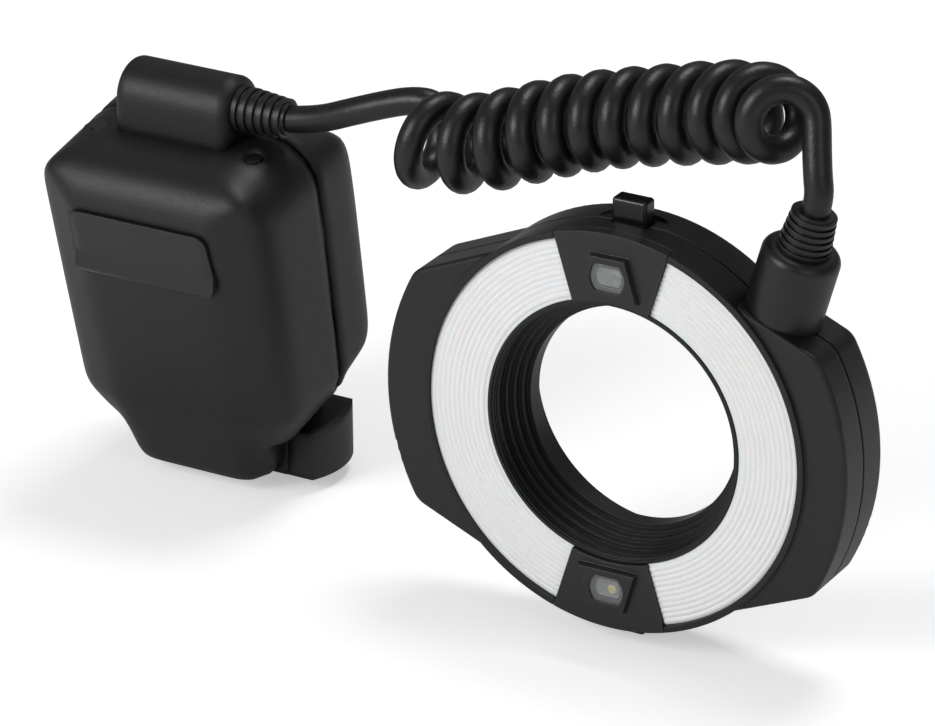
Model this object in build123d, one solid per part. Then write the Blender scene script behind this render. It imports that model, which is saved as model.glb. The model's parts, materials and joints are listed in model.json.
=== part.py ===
"""Macro ring flash: a control unit for an accessory shoe, a ring head for the front of a lens,
and the curly cord that joins them. All sizes are in millimetres.

The row frame has its origin at the bottom centre of the whole, +Z up, and the light faces -Y.
The control unit's case leans forward over its foot, so it is built upright in its own frame and turned.
"""

from build123d import *
from math import atan2, comb, cos, degrees, pi, radians, sin
import os

# the row frame's middle, so that the two units stand centred front to back
row_shift = 1.2

# shared fits and walls
shell_wall = 2.0
overrun = 1.0
running_gap = 0.15
button_gap = 0.2
loose_gap = 0.3
seam_width = 0.8
seam_depth = 0.7
plate_thickness = 1.2
board_thickness = 1.2

# ring head, from the ring's centre on the front face of its light
drum_radius = 53.4
wing_radius = 64.5
wing_slope_deg = 23.0
wing_flat_reach = 51.2
wing_corner_radius = 6.0
wing_zone_share = 0.9
ring_depth = 20.6
seam_place = 10.0
rim_width = 1.65
rim_proud = 1.0
light_inner_radius = 35.25
light_thickness = 2.2
rib_count = 9
rib_height = 0.35
sector_half_angle_deg = 17.4
sector_trim_deg = 0.2
front_edge_radius = 1.0
rear_edge_radius = 2.2

# lens bore, a stepped funnel with a collar behind it for the lens adapter ring
lip_radius = 34.3
stop_radius = 29.2
stop_depth = 15.9
stop_thickness = 4.4
bore_step_count = 4
bore_step_start = 3.0
sleeve_wall = 1.9
collar_radius = 34.5
collar_reach = 24.6
claw_zone = 3.1
claw_relief = 0.5
thread_count = 3
thread_height = 0.5

# release buttons and the claws that they pull
button_width = 9.6
button_thickness = 5.0
button_proud = 5.6
button_middle = 11.0
button_travel = 2.5
button_corner = 0.9
well_margin = 1.8
well_depth = 0.9
frame_thickness = 1.6
frame_inner_radius = 39.4
frame_outer_radius = 45.0
claw_tip_radius = 30.2
claw_width = 5.0
claw_thickness = 1.5
claw_angle_deg = 45.0
spring_radius = 1.5
spring_wall = 0.5
spring_length = 9.8

# lamps on the ring's top and bottom
pad_proud = 1.6
pad_width = 17.0
pad_height = 11.5
pad_middle = 42.3
pad_side_deg = 74.0
pad_taper_deg = 18.0
window_width = 9.6
window_height = 7.2
window_thickness = 1.4
window_sunk = 0.5
window_ledge = 0.6
lamp_depth = 6.5
lamp_cup_gap = 0.75
lamp_wall = 0.6
led_size = 2.2
led_thickness = 0.8

# light chamber
reflector_wall = 0.8
reflector_depth = 6.4
reflector_trim_deg = 1.0
tube_radius = 1.9
tube_trim_deg = 4.0
tube_path_radius = 43.5
ring_board_inner = 46.6
ring_board_outer = 51.0

# cord outlet on the head
boss_radius = 9.9
boss_tilt_deg = 16.0
boss_place_x = 46.8
boss_place_z = 55.5
boss_root = 22.0
boss_edge = 2.6
head_relief_length = 10.5
head_relief_base = 6.7
head_relief_tip = 5.6

# control unit case, in its own upright frame
unit_width = 70.9
unit_lower_width = 68.0
unit_top = 41.8
unit_waist = 12.0
unit_shoulder = -31.0
unit_corner_width = 62.0
unit_corner_height = -38.0
unit_bottom_width = 54.0
unit_bottom = -42.0
unit_top_corner = 15.0
unit_low_corner = 5.0
unit_lean_deg = 11.5
parting_depth = 25.5
top_slope_depth = 25.0
rear_edge_depth = 40.0
rear_edge_top = 35.0
rear_edge_bottom = -33.0
unit_rear = 50.0
rear_inset = 7.4
rear_low_inset = 3.7
underside_rise = 2.0
top_roll_radius = 13.0
crown_reach = 8.7
crown_width = 40.4
crown_lip = 0.7
waist_height = -1.6
waist_reach = 7.0
waist_width = 40.6
low_height = -32.2
low_reach = 6.2
low_width = 37.0
face_bottom = -55.0
tip_reach = 1.2
tip_width = 38.0
shoulder_depth = -1.5
ridge_radius = 9.0
shoulder_radius = 10.0
flank_clear = 0.1
tongue_top_width = 54.0
tongue_low_width = 44.0
tongue_root = 8.0
tongue_depth = 17.0
tongue_corner = 6.0
groove_width = 2.4
groove_depth = 1.0
groove_low = -36.0

# bare plate on the case's face
badge_width = 41.0
badge_low_width = 43.0
badge_top = 29.4
badge_bottom = 11.0
badge_thickness = 1.5
badge_proud = 0.7
badge_corner = 3.0
chin_height = 3.2
chin_proud = 2.2

# cable housing on the case
housing_width = 34.0
housing_shift = -0.9
housing_depth = 18.6
housing_top = 118.1
housing_front = -15.0 + row_shift
housing_root = 22.0
housing_edge = 2.6
unit_relief_length = 14.7
unit_relief_base = 6.4
unit_relief_tip = 5.0
unit_relief_height = 109.6
relief_rib_count = 6
relief_rib_height = 0.7
relief_rib_share = 0.6

# foot
block_half_width = 24.6
block_front = 0.6 + row_shift
block_depth = 17.6
block_floor = 4.0
shoe_width = 18.6
shoe_length = 18.0
shoe_thickness = 1.9
neck_width = 12.4
contact_radius = 1.0
contact_proud = 0.15
contact_spread = 4.4
pin_radius = 0.95
pin_travel = 1.4
pin_offset_share = 0.3
lever_thickness = 5.9
lever_bulge = 2.8
lever_front = 0.8 + row_shift
lever_rear = 22.0 + row_shift
lever_arm_width = 7.0
lever_arm_thickness = 2.4
lever_arm_height = 7.2
lever_hub_radius = 6.2
lever_post_radius = 2.4
lever_top = 19.4
lever_top_front = 17.4
lever_turn_deg = 35.0

# batteries and their case
cell_radius = 7.25
cell_length = 50.0
cell_pitch = 15.2
cell_start = -29.6
cell_middle_depth = 27.5
cell_middle_height = 3.0
case_wall = 0.7
contact_length = 2.2
contact_radius_share = 0.8
door_front = 12.0
door_rear = 43.0
door_low = -13.4
door_high = 19.4
door_barrel_radius = 2.05
door_relief_share = 1.4
door_pin_radius = 0.75
door_pin_bore = 0.8
door_pin_hold = 2.5

# back of the control unit
window_rear_width = 45.0
window_rear_height = 22.0
window_rear_middle = 13.0
panel_sunk = 0.8
panel_width = 52.0
panel_top = 26.2
panel_bottom = -28.2
panel_corner = 4.0
function_count = 4
function_width = 6.4
function_height = 3.0
function_pitch = 11.4
function_place = -2.6
small_travel = 0.8
button_flange = 0.9
button_flange_thickness = 0.9
cap_proud = 0.9
dial_radius = 10.0
dial_inner_radius = 5.4
dial_proud = 1.8
dial_sunk = 1.0
dial_place = -16.6
dial_tooth_count = 24
dial_tooth_depth = 0.35
set_radius = 4.4
round_radius = 3.1
round_place_x = 19.5
test_place = -9.5
lamp_place = -18.5
switch_place_x = -21.6
switch_place = -16.6
switch_width = 4.0
switch_height = 5.0
switch_proud = 1.35
switch_travel = 6.0
main_board_depth = 45.0
board_width = 48.0
board_top = 26.2
board_bottom = -27.6
screw_radius = 2.2
screw_sunk = 0.7
screw_head = 1.6
screw_post_length = 6.0
screw_place_x = 23.7
screw_place_depth = 13.7
capacitor_radius = 8.0
capacitor_length = 36.0
capacitor_height = 28.0
capacitor_depth = 30.0
transformer_width = 30.0
transformer_height = 10.4
transformer_depth = 14.0
transformer_middle = -20.4
core_depth = 7.0
winding_width = 22.0
winding_height = 8.0
winding_corner = 2.0

# where the two units stand
unit_spacing = 142.0
unit_foot_height = 57.1
unit_case_depth = -18.3 + row_shift
ring_face_depth = -37.5 + row_shift
ring_height = drum_radius + button_proud
ring_place_x = (unit_spacing + unit_width / 2 - wing_radius) / 2
unit_place_x = ring_place_x - unit_spacing

# cord: a curved coil between two plain stretches
cord_radius = 3.6
coil_turn_count = 12
coil_start_turn_deg = 90.0
coil_gap_points = 48
coil_line = [
    (-14.0, -12.5, 116.0, 10.0),
    (19.0, -21.0, 113.5, 7.0),
    (34.0, -9.5, 140.5, 12.5),
    (46.0, -16.0, 124.5, 4.5),
    (79.0, -4.5, 143.0, 13.0),
    (98.0, -26.5, 145.5, 7.0),
]
coil_entry = (-20.3, -4.1, 120.8)
coil_entry_way = (0.948, 0.114, 0.297)
unit_lead_out = 8.0
unit_lead_in = 9.4
head_lead_out = 6.0
head_lead_in = 4.0
arc_share = 0.45


def ring_plane(depth):
    """Plane square to the lens axis at a depth behind the light, with Z up."""
    return Plane(origin=(0, depth, 0), x_dir=(1, 0, 0), z_dir=(0, -1, 0))


def back_from(depth, thickness, outline):
    """Solid of an outline that starts at a depth and runs backwards."""
    return extrude(ring_plane(depth) * outline, amount=-thickness)


def washer(outer, inner):
    """Flat ring."""
    return Circle(outer) - Circle(inner)


def tube_back(depth, thickness, outer, inner):
    """Ring-shaped solid round the lens axis."""
    return back_from(depth, thickness, washer(outer, inner))


def bar_between(low, high):
    """Block from its lowest to its highest corner."""
    size = [b - a for a, b in zip(low, high)]
    middle = [(a + b) / 2 for a, b in zip(low, high)]
    return Pos(*middle) * Box(*size)


def sector(outer, inner, half_angle_deg, middle_deg):
    """Flat piece of a ring between two rays."""
    reach = 2 * outer
    spread = reach * sin(radians(half_angle_deg)) / cos(radians(half_angle_deg))
    wedge = make_face(Polyline((0, 0), (reach, -spread), (reach, spread), close=True))
    return washer(outer, inner) & Rot(0, 0, middle_deg) * wedge


# ring head

def ring_outline(inset=0.0):
    """Front view of the head: a drum with a wing at each side, drawn in by an inset."""
    reach = 4 * wing_radius
    corner = max(wing_corner_radius - inset, overrun)
    band = Rectangle(reach, 2 * (wing_flat_reach - inset))
    wings = Circle(wing_radius - inset) & Rot(0, 0, wing_slope_deg) * band
    wings = wings & Rot(0, 0, -wing_slope_deg) * band
    wings = wings - Rectangle(drum_radius, reach)
    corners = [v for v in wings.vertices() if abs(v.X) > wing_zone_share * drum_radius]
    wings = fillet(corners, corner)
    return wings + Circle(drum_radius - inset)


def button_well():
    """Slot in the drum's rim for a release button, with a shallow oval seat round it."""
    slot = Box(button_width + 2 * button_gap, button_thickness + 2 * button_gap, drum_radius)
    seat = SlotOverall(button_width + 2 * well_margin + button_thickness, button_thickness + 2 * well_margin)
    seat = extrude(seat, amount=drum_radius)
    return Pos(0, button_middle, drum_radius) * slot + Pos(0, button_middle, drum_radius - well_depth) * seat


def both_ends(shape):
    """A shape and its copy turned half way round the lens axis."""
    return shape + Rot(0, 180, 0) * shape


def head_screw_places():
    """Places of the four screws that hold the head's covers."""
    reach = wing_radius - 2 * wing_corner_radius
    height = wing_flat_reach / 2
    return [(sx * reach, sz * height) for sx in (-1, 1) for sz in (-1, 1)]


def make_front_cover():
    """Front cover: wings, rim and side walls, open where the light and the bore are."""
    light_radius = drum_radius - rim_width
    body = back_from(0, seam_place, ring_outline())
    front_edges = body.edges().group_by(Axis.Y)[0]
    body = fillet(front_edges, front_edge_radius)
    body = body + tube_back(-rim_proud, seam_place + rim_proud, drum_radius, light_radius)
    lip = ring_outline(-overrun) - ring_outline(seam_depth)
    body = body - back_from(seam_place - seam_width, seam_width + overrun, lip)
    inside = back_from(shell_wall, ring_depth, ring_outline(shell_wall))
    body = body - inside - back_from(-ring_depth, 2 * ring_depth, Circle(light_radius))
    rim = tube_back(0, seam_place, drum_radius - seam_depth, light_radius)
    body = body + rim
    post = tube_back(shell_wall, seam_place - shell_wall, 2 * screw_radius, screw_head / 2)
    body = body + [Pos(x, 0, z) * post for x, z in head_screw_places()]
    lobes = sector(2 * drum_radius, light_inner_radius, sector_half_angle_deg, 90)
    body = body - both_ends(back_from(-2 * rim_proud, light_thickness + 2 * rim_proud, lobes))
    return body - both_ends(button_well()) - cord_way()


def make_rear_cover():
    """Rear cover: side walls and back wall round the adapter collar."""
    depth = ring_depth - seam_place
    body = back_from(seam_place, depth, ring_outline())
    rear_edges = body.edges().group_by(Axis.Y)[-1]
    body = fillet(rear_edges, rear_edge_radius)
    inside = back_from(seam_place - overrun, depth - shell_wall + overrun, ring_outline(shell_wall))
    body = body - inside
    hole = collar_radius + sleeve_wall + running_gap
    body = body - back_from(0, 2 * ring_depth, Circle(hole))
    post = tube_back(seam_place, depth - shell_wall, 2 * screw_radius, screw_head / 2)
    body = body + [Pos(x, 0, z) * post for x, z in head_screw_places()]
    recess = back_from(ring_depth - screw_sunk, ring_depth, Circle(screw_radius + running_gap))
    shank = back_from(seam_place, ring_depth, Circle(screw_head / 2))
    body = body - [Pos(x, 0, z) * (recess + shank) for x, z in head_screw_places()]
    body = body + tube_back(ring_depth, collar_reach - ring_depth - overrun, hole + 2 * shell_wall, hole)
    return body - both_ends(button_well()) - cord_way()


def make_head_screws():
    """Four screws that go in from the back."""
    head = back_from(ring_depth - screw_sunk, screw_head / 2, Circle(screw_radius))
    shank = back_from(seam_place / 2, ring_depth - screw_sunk - seam_place / 2, Circle(screw_head / 2))
    screw = head + shank
    return [Pos(x, 0, z) * screw for x, z in head_screw_places()]


def sleeve_profile():
    """Half section of the bore sleeve, radius against depth."""
    outer = lip_radius + sleeve_wall / 2
    points = [(light_inner_radius - running_gap, 0), (lip_radius, 0)]
    pitch = bore_step_start / thread_count
    for turn in range(thread_count):
        depth = turn * pitch
        points.append((lip_radius, depth + pitch / 2))
        points.append((lip_radius - thread_height, depth + pitch / 2))
        points.append((lip_radius - thread_height, depth + pitch))
        if turn < thread_count - 1:
            points.append((lip_radius, depth + pitch))
    fall = (lip_radius - thread_height - stop_radius) / bore_step_count
    run = (stop_depth - stop_thickness - bore_step_start) / bore_step_count
    for step in range(bore_step_count):
        radius = lip_radius - thread_height - (step + 1) * fall
        depth = bore_step_start + (step + 1) * run
        points.append((radius + fall, depth))
        points.append((radius, depth))
    points.append((stop_radius, stop_depth))
    points.append((collar_radius + claw_relief, stop_depth))
    points.append((collar_radius + claw_relief, stop_depth + claw_zone))
    points.append((collar_radius, stop_depth + claw_zone))
    points.append((collar_radius, collar_reach))
    points.append((collar_radius + sleeve_wall, collar_reach))
    points.append((collar_radius + sleeve_wall, stop_depth - sleeve_wall))
    points.append((outer, button_middle + spring_radius + running_gap))
    points.append((outer, light_thickness))
    points.append((light_inner_radius - running_gap, light_thickness))
    return points


def make_bore_sleeve():
    """Black stepped funnel of the lens bore, with the collar that the adapter ring enters."""
    section = make_face(Polyline(*sleeve_profile(), close=True))
    body = revolve(section, Axis.Y)
    half = claw_width / 2 + button_travel
    window = bar_between(
        (stop_radius + sleeve_wall, claw_depth() - loose_gap, -half),
        (frame_inner_radius, claw_depth() + claw_thickness + loose_gap, half),
    )
    for angle in (-claw_angle_deg, 180 - claw_angle_deg):
        body = body - Rot(0, angle, 0) * window
    return body


def claw_depth():
    """Depth of the claws' front faces, just behind the stop."""
    return stop_depth + loose_gap + running_gap


def ray_place(radius, angle_deg, depth):
    """Point at a radius and an angle round the lens axis."""
    return (radius * cos(radians(angle_deg)), depth, radius * sin(radians(angle_deg)))


def make_release_button():
    """Top button: cap, stem, a half-ring frame down the left side and its claw at lower left."""
    cap_low = frame_outer_radius - button_travel
    half_width = button_width / 2
    cap = bar_between(
        (-half_width, button_middle - button_thickness / 2, cap_low),
        (half_width, button_middle + button_thickness / 2, drum_radius + button_proud),
    )
    cap = fillet(cap.edges().filter_by(Axis.Z), button_corner)
    cap = fillet(cap.edges().group_by(Axis.Z)[-1], button_corner)
    rear = claw_depth() + frame_thickness
    web = bar_between(
        (-half_width, button_middle, frame_inner_radius + running_gap),
        (half_width, rear, frame_outer_radius - running_gap),
    )
    half = sector(frame_outer_radius, frame_inner_radius, 90 - claw_angle_deg / 2, 180 - claw_angle_deg / 4)
    frame = back_from(claw_depth(), frame_thickness, half)
    claw = bar_between(
        (claw_tip_radius, claw_depth(), -claw_width / 2),
        (frame_inner_radius + overrun, claw_depth() + claw_thickness, claw_width / 2),
    )
    claw = Rot(0, -(180 + claw_angle_deg), 0) * claw
    bridge = bar_between(
        (-frame_inner_radius / 2, claw_depth(), frame_inner_radius - frame_thickness),
        (half_width, rear, frame_outer_radius - running_gap),
    )
    arc_band = back_from(claw_depth(), frame_thickness, washer(frame_outer_radius, frame_inner_radius))
    body = cap + web + frame + claw + (bridge & arc_band)
    return body - spring_room(spring_radius + running_gap, spring_wall)


def spring_room(radius, below):
    """Cylinder that the top button's spring stands in, from the sleeve up."""
    height = spring_length + below
    middle = spring_floor() - below + height / 2
    return Pos(0, button_middle, middle) * Cylinder(radius, height)


def spring_floor():
    """Height at which the top spring stands on the sleeve."""
    return lip_radius + sleeve_wall / 2


def make_release_spring():
    """Return spring of the top button, between the sleeve and the button's bore."""
    return spring_room(spring_radius, 0) - spring_room(spring_radius - spring_wall, overrun)


def make_diffuser(side):
    """Ribbed white cover of one flash tube; side is 1 for +X and -1 for -X."""
    outer = drum_radius - rim_width - running_gap / 3
    arc_half = 90 - sector_half_angle_deg
    middle = 0 if side > 0 else 180
    plate = back_from(0, light_thickness, sector(outer, light_inner_radius, arc_half, middle))
    pitch = (outer - light_inner_radius) / (rib_count + 1)
    for rib in range(rib_count):
        radius = light_inner_radius + (rib + 1) * pitch
        groove = tube_back(-overrun, overrun + rib_height, radius + pitch / 8, radius - pitch / 8)
        plate = plate - groove
    return plate


def make_reflector(side):
    """Bright trough behind one diffuser."""
    outer = drum_radius - rim_width - loose_gap
    inner = light_inner_radius + loose_gap
    arc_half = 90 - sector_half_angle_deg - reflector_trim_deg
    middle = 0 if side > 0 else 180
    block = back_from(light_thickness, reflector_depth, sector(outer, inner, arc_half, middle))
    arc_inner = arc_half - reflector_trim_deg
    hollow = sector(outer - reflector_wall, inner + reflector_wall, arc_inner, middle)
    return block - back_from(light_thickness - overrun, reflector_depth - reflector_wall + overrun, hollow)


def make_flash_tube(side):
    """Curved glass tube that lies on the reflector's floor."""
    middle = 0 if side > 0 else 180
    arc_half = 90 - sector_half_angle_deg - tube_trim_deg
    start = Vector(*ray_place(tube_path_radius, middle - arc_half, tube_depth()))
    halfway = Vector(*ray_place(tube_path_radius, middle, tube_depth()))
    end = Vector(*ray_place(tube_path_radius, middle + arc_half, tube_depth()))
    path = Edge.make_three_point_arc(start, halfway, end)
    return sweep(Plane(origin=path @ 0, z_dir=path % 0) * Circle(tube_radius), path=path)


def tube_depth():
    """Depth of the flash tubes' middle line, resting on the reflector's floor."""
    return light_thickness + reflector_depth - reflector_wall - tube_radius


def make_sector_cover():
    """Black cover at the top of the light, with a raised pad round its lamp window."""
    half = sector_half_angle_deg - sector_trim_deg
    outline = sector(drum_radius, light_inner_radius, half, 90)
    plate = back_from(-rim_proud, light_thickness + rim_proud, outline)
    pad = Pos(0, pad_middle) * Trapezoid(pad_width, pad_height, pad_side_deg)
    raised = extrude(ring_plane(-rim_proud) * pad, amount=pad_proud, taper=pad_taper_deg)
    body = plate + raised
    well = Pos(0, pad_middle) * window_outline(running_gap / 3)
    hole = Pos(0, pad_middle) * window_outline(-window_ledge)
    body = body - extrude(ring_plane(window_front() + window_thickness) * well, amount=pad_proud * 4)
    return body - back_from(-pad_proud * 4, pad_proud * 8, hole)


def window_outline(grow):
    """Lamp window: flat top and bottom, round ends."""
    block = Rectangle(window_width + 2 * grow, window_height + 2 * grow)
    return block & Circle((window_width + 2 * grow) / 2)


def window_front():
    """Depth of the lamp window's face, a little below the pad."""
    return -rim_proud - pad_proud + window_sunk


def make_lamp_window():
    """Clear window of one lamp."""
    outline = Pos(0, pad_middle) * window_outline(0)
    return back_from(window_front(), window_thickness, outline)


def make_lamp():
    """Lamp cup with its small light source, behind the window."""
    start = window_front() + window_thickness
    cup = Pos(0, pad_middle) * window_outline(-lamp_cup_gap)
    hollow = Pos(0, pad_middle) * window_outline(-lamp_cup_gap - lamp_wall)
    body = back_from(start, lamp_depth, cup) - back_from(start - overrun, lamp_depth, hollow)
    chip = Pos(0, pad_middle) * Rectangle(led_size, led_size)
    return body + back_from(start + lamp_depth - overrun - led_thickness, led_thickness + overrun, chip)


def make_ring_board():
    """Circuit board round the light chamber, cut away at the release buttons."""
    ring = washer(ring_board_outer, ring_board_inner)
    gap = Rectangle(button_width + 4 * well_margin, 2 * drum_radius)
    depth = light_thickness + reflector_depth
    return back_from(depth, board_thickness, ring - gap)


def boss_frame(reach):
    """Place on the cord outlet's axis, at a distance beyond the boss's top."""
    tilt = radians(boss_tilt_deg)
    x = boss_place_x + reach * sin(tilt)
    z = boss_place_z + reach * cos(tilt)
    return Location((x, ring_depth / 2, z), (0, boss_tilt_deg, 0))


def cord_way():
    """Hole for the wires, under the boss."""
    return boss_frame(-boss_root / 2) * Cylinder(cord_radius, boss_root)


def make_cable_boss():
    """Round boss on the head's shoulder that holds the cord's strain relief."""
    post = Cylinder(boss_radius, boss_root)
    post = fillet(post.edges().group_by(Axis.Z)[-1], boss_edge)
    post = boss_frame(-boss_root / 2) * post
    return post - back_from(0, ring_depth, ring_outline())


def make_relief(base, tip, length):
    """Strain relief along +Z: a tapered sleeve with ribs round it."""
    sleeve = Cone(base - relief_rib_height, tip - relief_rib_height, length)
    body = Pos(0, 0, length / 2) * sleeve
    pitch = length / relief_rib_count
    for rib in range(relief_rib_count):
        height = rib * pitch
        radius = base + (tip - base) * rib / relief_rib_count
        thickness = relief_rib_share * pitch
        body = body + Pos(0, 0, height + thickness / 2) * Cylinder(radius, thickness)
    return body


# control unit case

def case_outline(inset=0.0):
    """Front view of the case without its tongue."""
    half = unit_width / 2 - inset
    low = unit_lower_width / 2 - inset
    corner = unit_corner_width / 2 - inset
    bottom = unit_bottom_width / 2 - inset
    right = [
        (half, unit_top - inset),
        (half, unit_waist),
        (low, unit_shoulder),
        (corner, unit_corner_height + inset),
        (bottom, unit_bottom + inset),
    ]
    left = [(-x, z) for x, z in reversed(right)]
    shape = make_face(Polyline(*(right + left), close=True))
    upper = shape.vertices().group_by(Axis.Y)[-1]
    shape = fillet(upper, unit_top_corner - inset)
    lower = [v for v in shape.vertices() if abs(v.Y - unit_corner_height - inset) < running_gap]
    return fillet(lower, unit_low_corner - inset)


def tongue_outline(inset=0.0):
    """Front view of the tongue that hangs below the case."""
    half_top = tongue_top_width / 2 - inset
    half_low = tongue_low_width / 2 - inset
    bottom = face_bottom + inset
    points = [(-half_top, 0), (half_top, 0), (half_low, bottom), (-half_low, bottom)]
    shape = make_face(Polyline(*points, close=True))
    corners = shape.vertices().group_by(Axis.Y)[0]
    return fillet(corners, tongue_corner - inset)


def side_profile(inset=0.0):
    """Side view of the case: a bent face that rolls over into the top, and a tapered back."""
    top = unit_top - inset
    roll = top_roll_radius - inset
    front = inset - crown_reach
    rear = unit_rear - inset
    tongue = tongue_depth - inset
    turn = roll * (1 - cos(pi / 4))
    start = (front, top - roll)
    halfway = (front + turn, top - turn)
    end = (front + roll, top)
    points = [
        end,
        (top_slope_depth, top),
        (rear_edge_depth, rear_edge_top - inset),
        (rear, rear_edge_top - rear_inset - inset),
        (rear, rear_edge_bottom + rear_low_inset + inset),
        (rear_edge_depth, rear_edge_bottom + inset),
        (tongue, unit_bottom + underside_rise + inset),
        (tongue, face_bottom - overrun),
        (inset - tip_reach, face_bottom - overrun),
        (inset - low_reach, low_height),
        (inset - waist_reach, waist_height),
        start,
    ]
    return make_face(Polyline(*points) + ThreePointArc(start, halfway, end))


def flank_section(height, half, reach, foot, root, inset):
    """Level section of the case's front: a flat face between two sloping flanks."""
    far = unit_rear + overrun
    half = half - inset
    foot = foot - inset
    front = inset - reach
    root = root + inset
    right = [(half, front), (foot, root), (foot, far)]
    left = [(-x, y) for x, y in reversed(right)]
    shape = make_face(Polyline(*(right + left), close=True))
    ridges = shape.vertices().group_by(Axis.Y)[0]
    shape = fillet(ridges, ridge_radius)
    shoulders = [v for v in shape.vertices() if abs(v.Y - root) < running_gap]
    shape = fillet(shoulders, shoulder_radius)
    return Pos(0, 0, height) * shape


def flank_solid(inset=0.0):
    """Solid between the case's two sloping flanks, through four level sections."""
    wide = unit_width / 2 + flank_clear
    slim = unit_lower_width / 2 + flank_clear
    sections = [
        (unit_top + overrun, crown_width / 2, crown_reach + crown_lip, wide, shoulder_depth),
        (waist_height, waist_width / 2, waist_reach, (wide + slim) / 2, shoulder_depth),
        (low_height, low_width / 2, low_reach, slim, shoulder_depth),
        (face_bottom - overrun, tip_width / 2, tip_reach, tongue_low_width / 2, tongue_root),
    ]
    return loft([flank_section(*sizes, inset) for sizes in sections], ruled=True)


def side_solid(inset=0.0):
    """The side view pulled across the whole width."""
    plane = Plane(origin=(0, 0, 0), x_dir=(0, 1, 0), z_dir=(1, 0, 0))
    return extrude(plane * side_profile(inset), amount=unit_width, both=True)


def case_solid(inset=0.0):
    """Case and tongue as one body, drawn in by an inset."""
    front = -3 * crown_reach
    case = back_from(front, rear_edge_depth - front, case_outline(inset))
    tail_length = unit_rear - rear_edge_depth - inset
    tail_outline = ring_plane(rear_edge_depth) * case_outline(inset)
    tail = extrude(tail_outline, amount=-tail_length, taper=tail_taper())
    tongue = back_from(front, tongue_depth - front, tongue_outline(inset))
    return (case + tail + tongue) & side_solid(inset) & flank_solid(inset)


def tail_taper():
    """Slope of the case's rear part, in degrees."""
    return degrees(atan2(rear_inset, unit_rear - rear_edge_depth))


def door_box(gap=0.0):
    """Space that the battery door fills, on the -X side."""
    return bar_between(
        (-unit_width, door_front - gap, door_low - gap),
        (-unit_width / 2 + shell_wall + rear_inset, door_rear + gap, door_high + gap),
    )


def door_axis_x():
    """Place of the door's hinge pin across the case."""
    return -unit_width / 2 + door_barrel_radius


def door_pin_solid(radius, hold):
    """Cylinder along the door's hinge line, with a given hold beyond the door at each end."""
    length = door_high - door_low + 2 * hold
    middle = (door_high + door_low) / 2
    return Pos(door_axis_x(), door_front, middle) * Cylinder(radius, length)


def screw_posts():
    """Posts under the case's top that the two case screws sit in."""
    middle = unit_top - overrun - screw_post_length / 2
    post = Pos(0, screw_place_depth, middle) * Cylinder(2 * screw_radius, screw_post_length)
    return [Pos(side * screw_place_x, 0, 0) * post for side in (-1, 1)]


def screw_recess():
    """Two screw recesses in the case's top, beside the cable housing."""
    floor = unit_top - screw_sunk - screw_head
    hole = Cylinder(screw_radius + running_gap, unit_top)
    hole = Pos(0, screw_place_depth, floor + unit_top / 2) * hole
    return [Pos(side * screw_place_x, 0, 0) * hole for side in (-1, 1)]


def foot_zone():
    """Room behind the tongue that the foot block fills, upright in the row frame."""
    front = block_front + shell_wall
    zone = bar_between(
        (-unit_width, front, -overrun),
        (unit_width, front + 2 * tongue_depth, lever_arm_height + lever_arm_thickness + 2 * shell_wall),
    )
    return Pos(unit_place_x, 0, 0) * zone


def make_front_shell():
    """Front half of the case with its leaning face and tongue."""
    keep = bar_between((-unit_width, -unit_width, -unit_width), (unit_width, parting_depth, unit_width))
    shell = case_solid() & keep
    hollow = case_solid(shell_wall) & bar_between(
        (-unit_width, -unit_width, unit_bottom + shell_wall),
        (unit_width, parting_depth + overrun, unit_width),
    )
    shell = shell - hollow
    ring = case_outline(-4 * overrun) - case_outline(groove_depth)
    groove = back_from(parting_depth - groove_width, groove_width + overrun, ring)
    above = bar_between((-unit_width, 0, groove_low), (unit_width, unit_width, unit_width))
    shell = shell - (groove & above)
    shell = shell - door_box(running_gap) - door_pin_solid(door_barrel_radius + running_gap, running_gap)
    shell = shell - door_relief() + hinge_lugs()
    shell = shell - door_pin_solid(door_pin_radius, door_pin_hold)
    shell = shell + screw_posts()
    shell = shell - screw_recess() - badge_solid(running_gap / 3)
    return shell - unit_frame().inverse() * foot_zone()


def door_relief():
    """Notch in front of the hinge that the open door's skin turns into."""
    depth = door_relief_share * door_barrel_radius
    return bar_between(
        (-unit_width, door_front - depth, door_low - running_gap),
        (door_axis_x(), door_front, door_high + running_gap),
    )


def hinge_lugs():
    """Blocks inside the case that carry the door's pin at both ends."""
    reach = 2 * door_barrel_radius
    length = door_pin_hold + overrun
    lugs = []
    for low in (door_low - running_gap - length, door_high + running_gap):
        near = (-unit_width / 2 + overrun, door_front - reach, low)
        far = (door_axis_x() + reach, door_front + reach, low + length)
        lugs.append(bar_between(near, far))
    return lugs


def make_rear_shell():
    """Rear half of the case: side walls, sloping back edge and the wall behind the controls."""
    outer = case_solid()
    keep = bar_between(
        (-unit_width, parting_depth, unit_bottom - overrun), (unit_width, 2 * unit_rear, unit_width)
    )
    shell = outer & keep
    hollow = case_solid(shell_wall) & bar_between(
        (-unit_width, -unit_width, -unit_width), (unit_width, unit_rear - shell_wall, unit_width)
    )
    shell = shell - hollow - door_box(running_gap)
    shell = shell - back_from(unit_rear - panel_sunk, 2 * panel_sunk, panel_outline(running_gap / 3))
    shell = shell - window_pocket()
    return shell - control_holes() - dial_groove()


def panel_outline(grow=0.0):
    """Outline of the thin panel on the back."""
    height = panel_top - panel_bottom
    width = panel_width
    plate = RectangleRounded(width + 2 * grow, height + 2 * grow, panel_corner + grow)
    return Pos(0, (panel_top + panel_bottom) / 2) * plate


def window_pocket():
    """Opening in the back wall behind the display window."""
    opening = Rectangle(window_rear_width - 2 * overrun, window_rear_height - 2 * overrun)
    return back_from(unit_rear - 2 * shell_wall, 3 * shell_wall, Pos(0, window_rear_middle) * opening)


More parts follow.
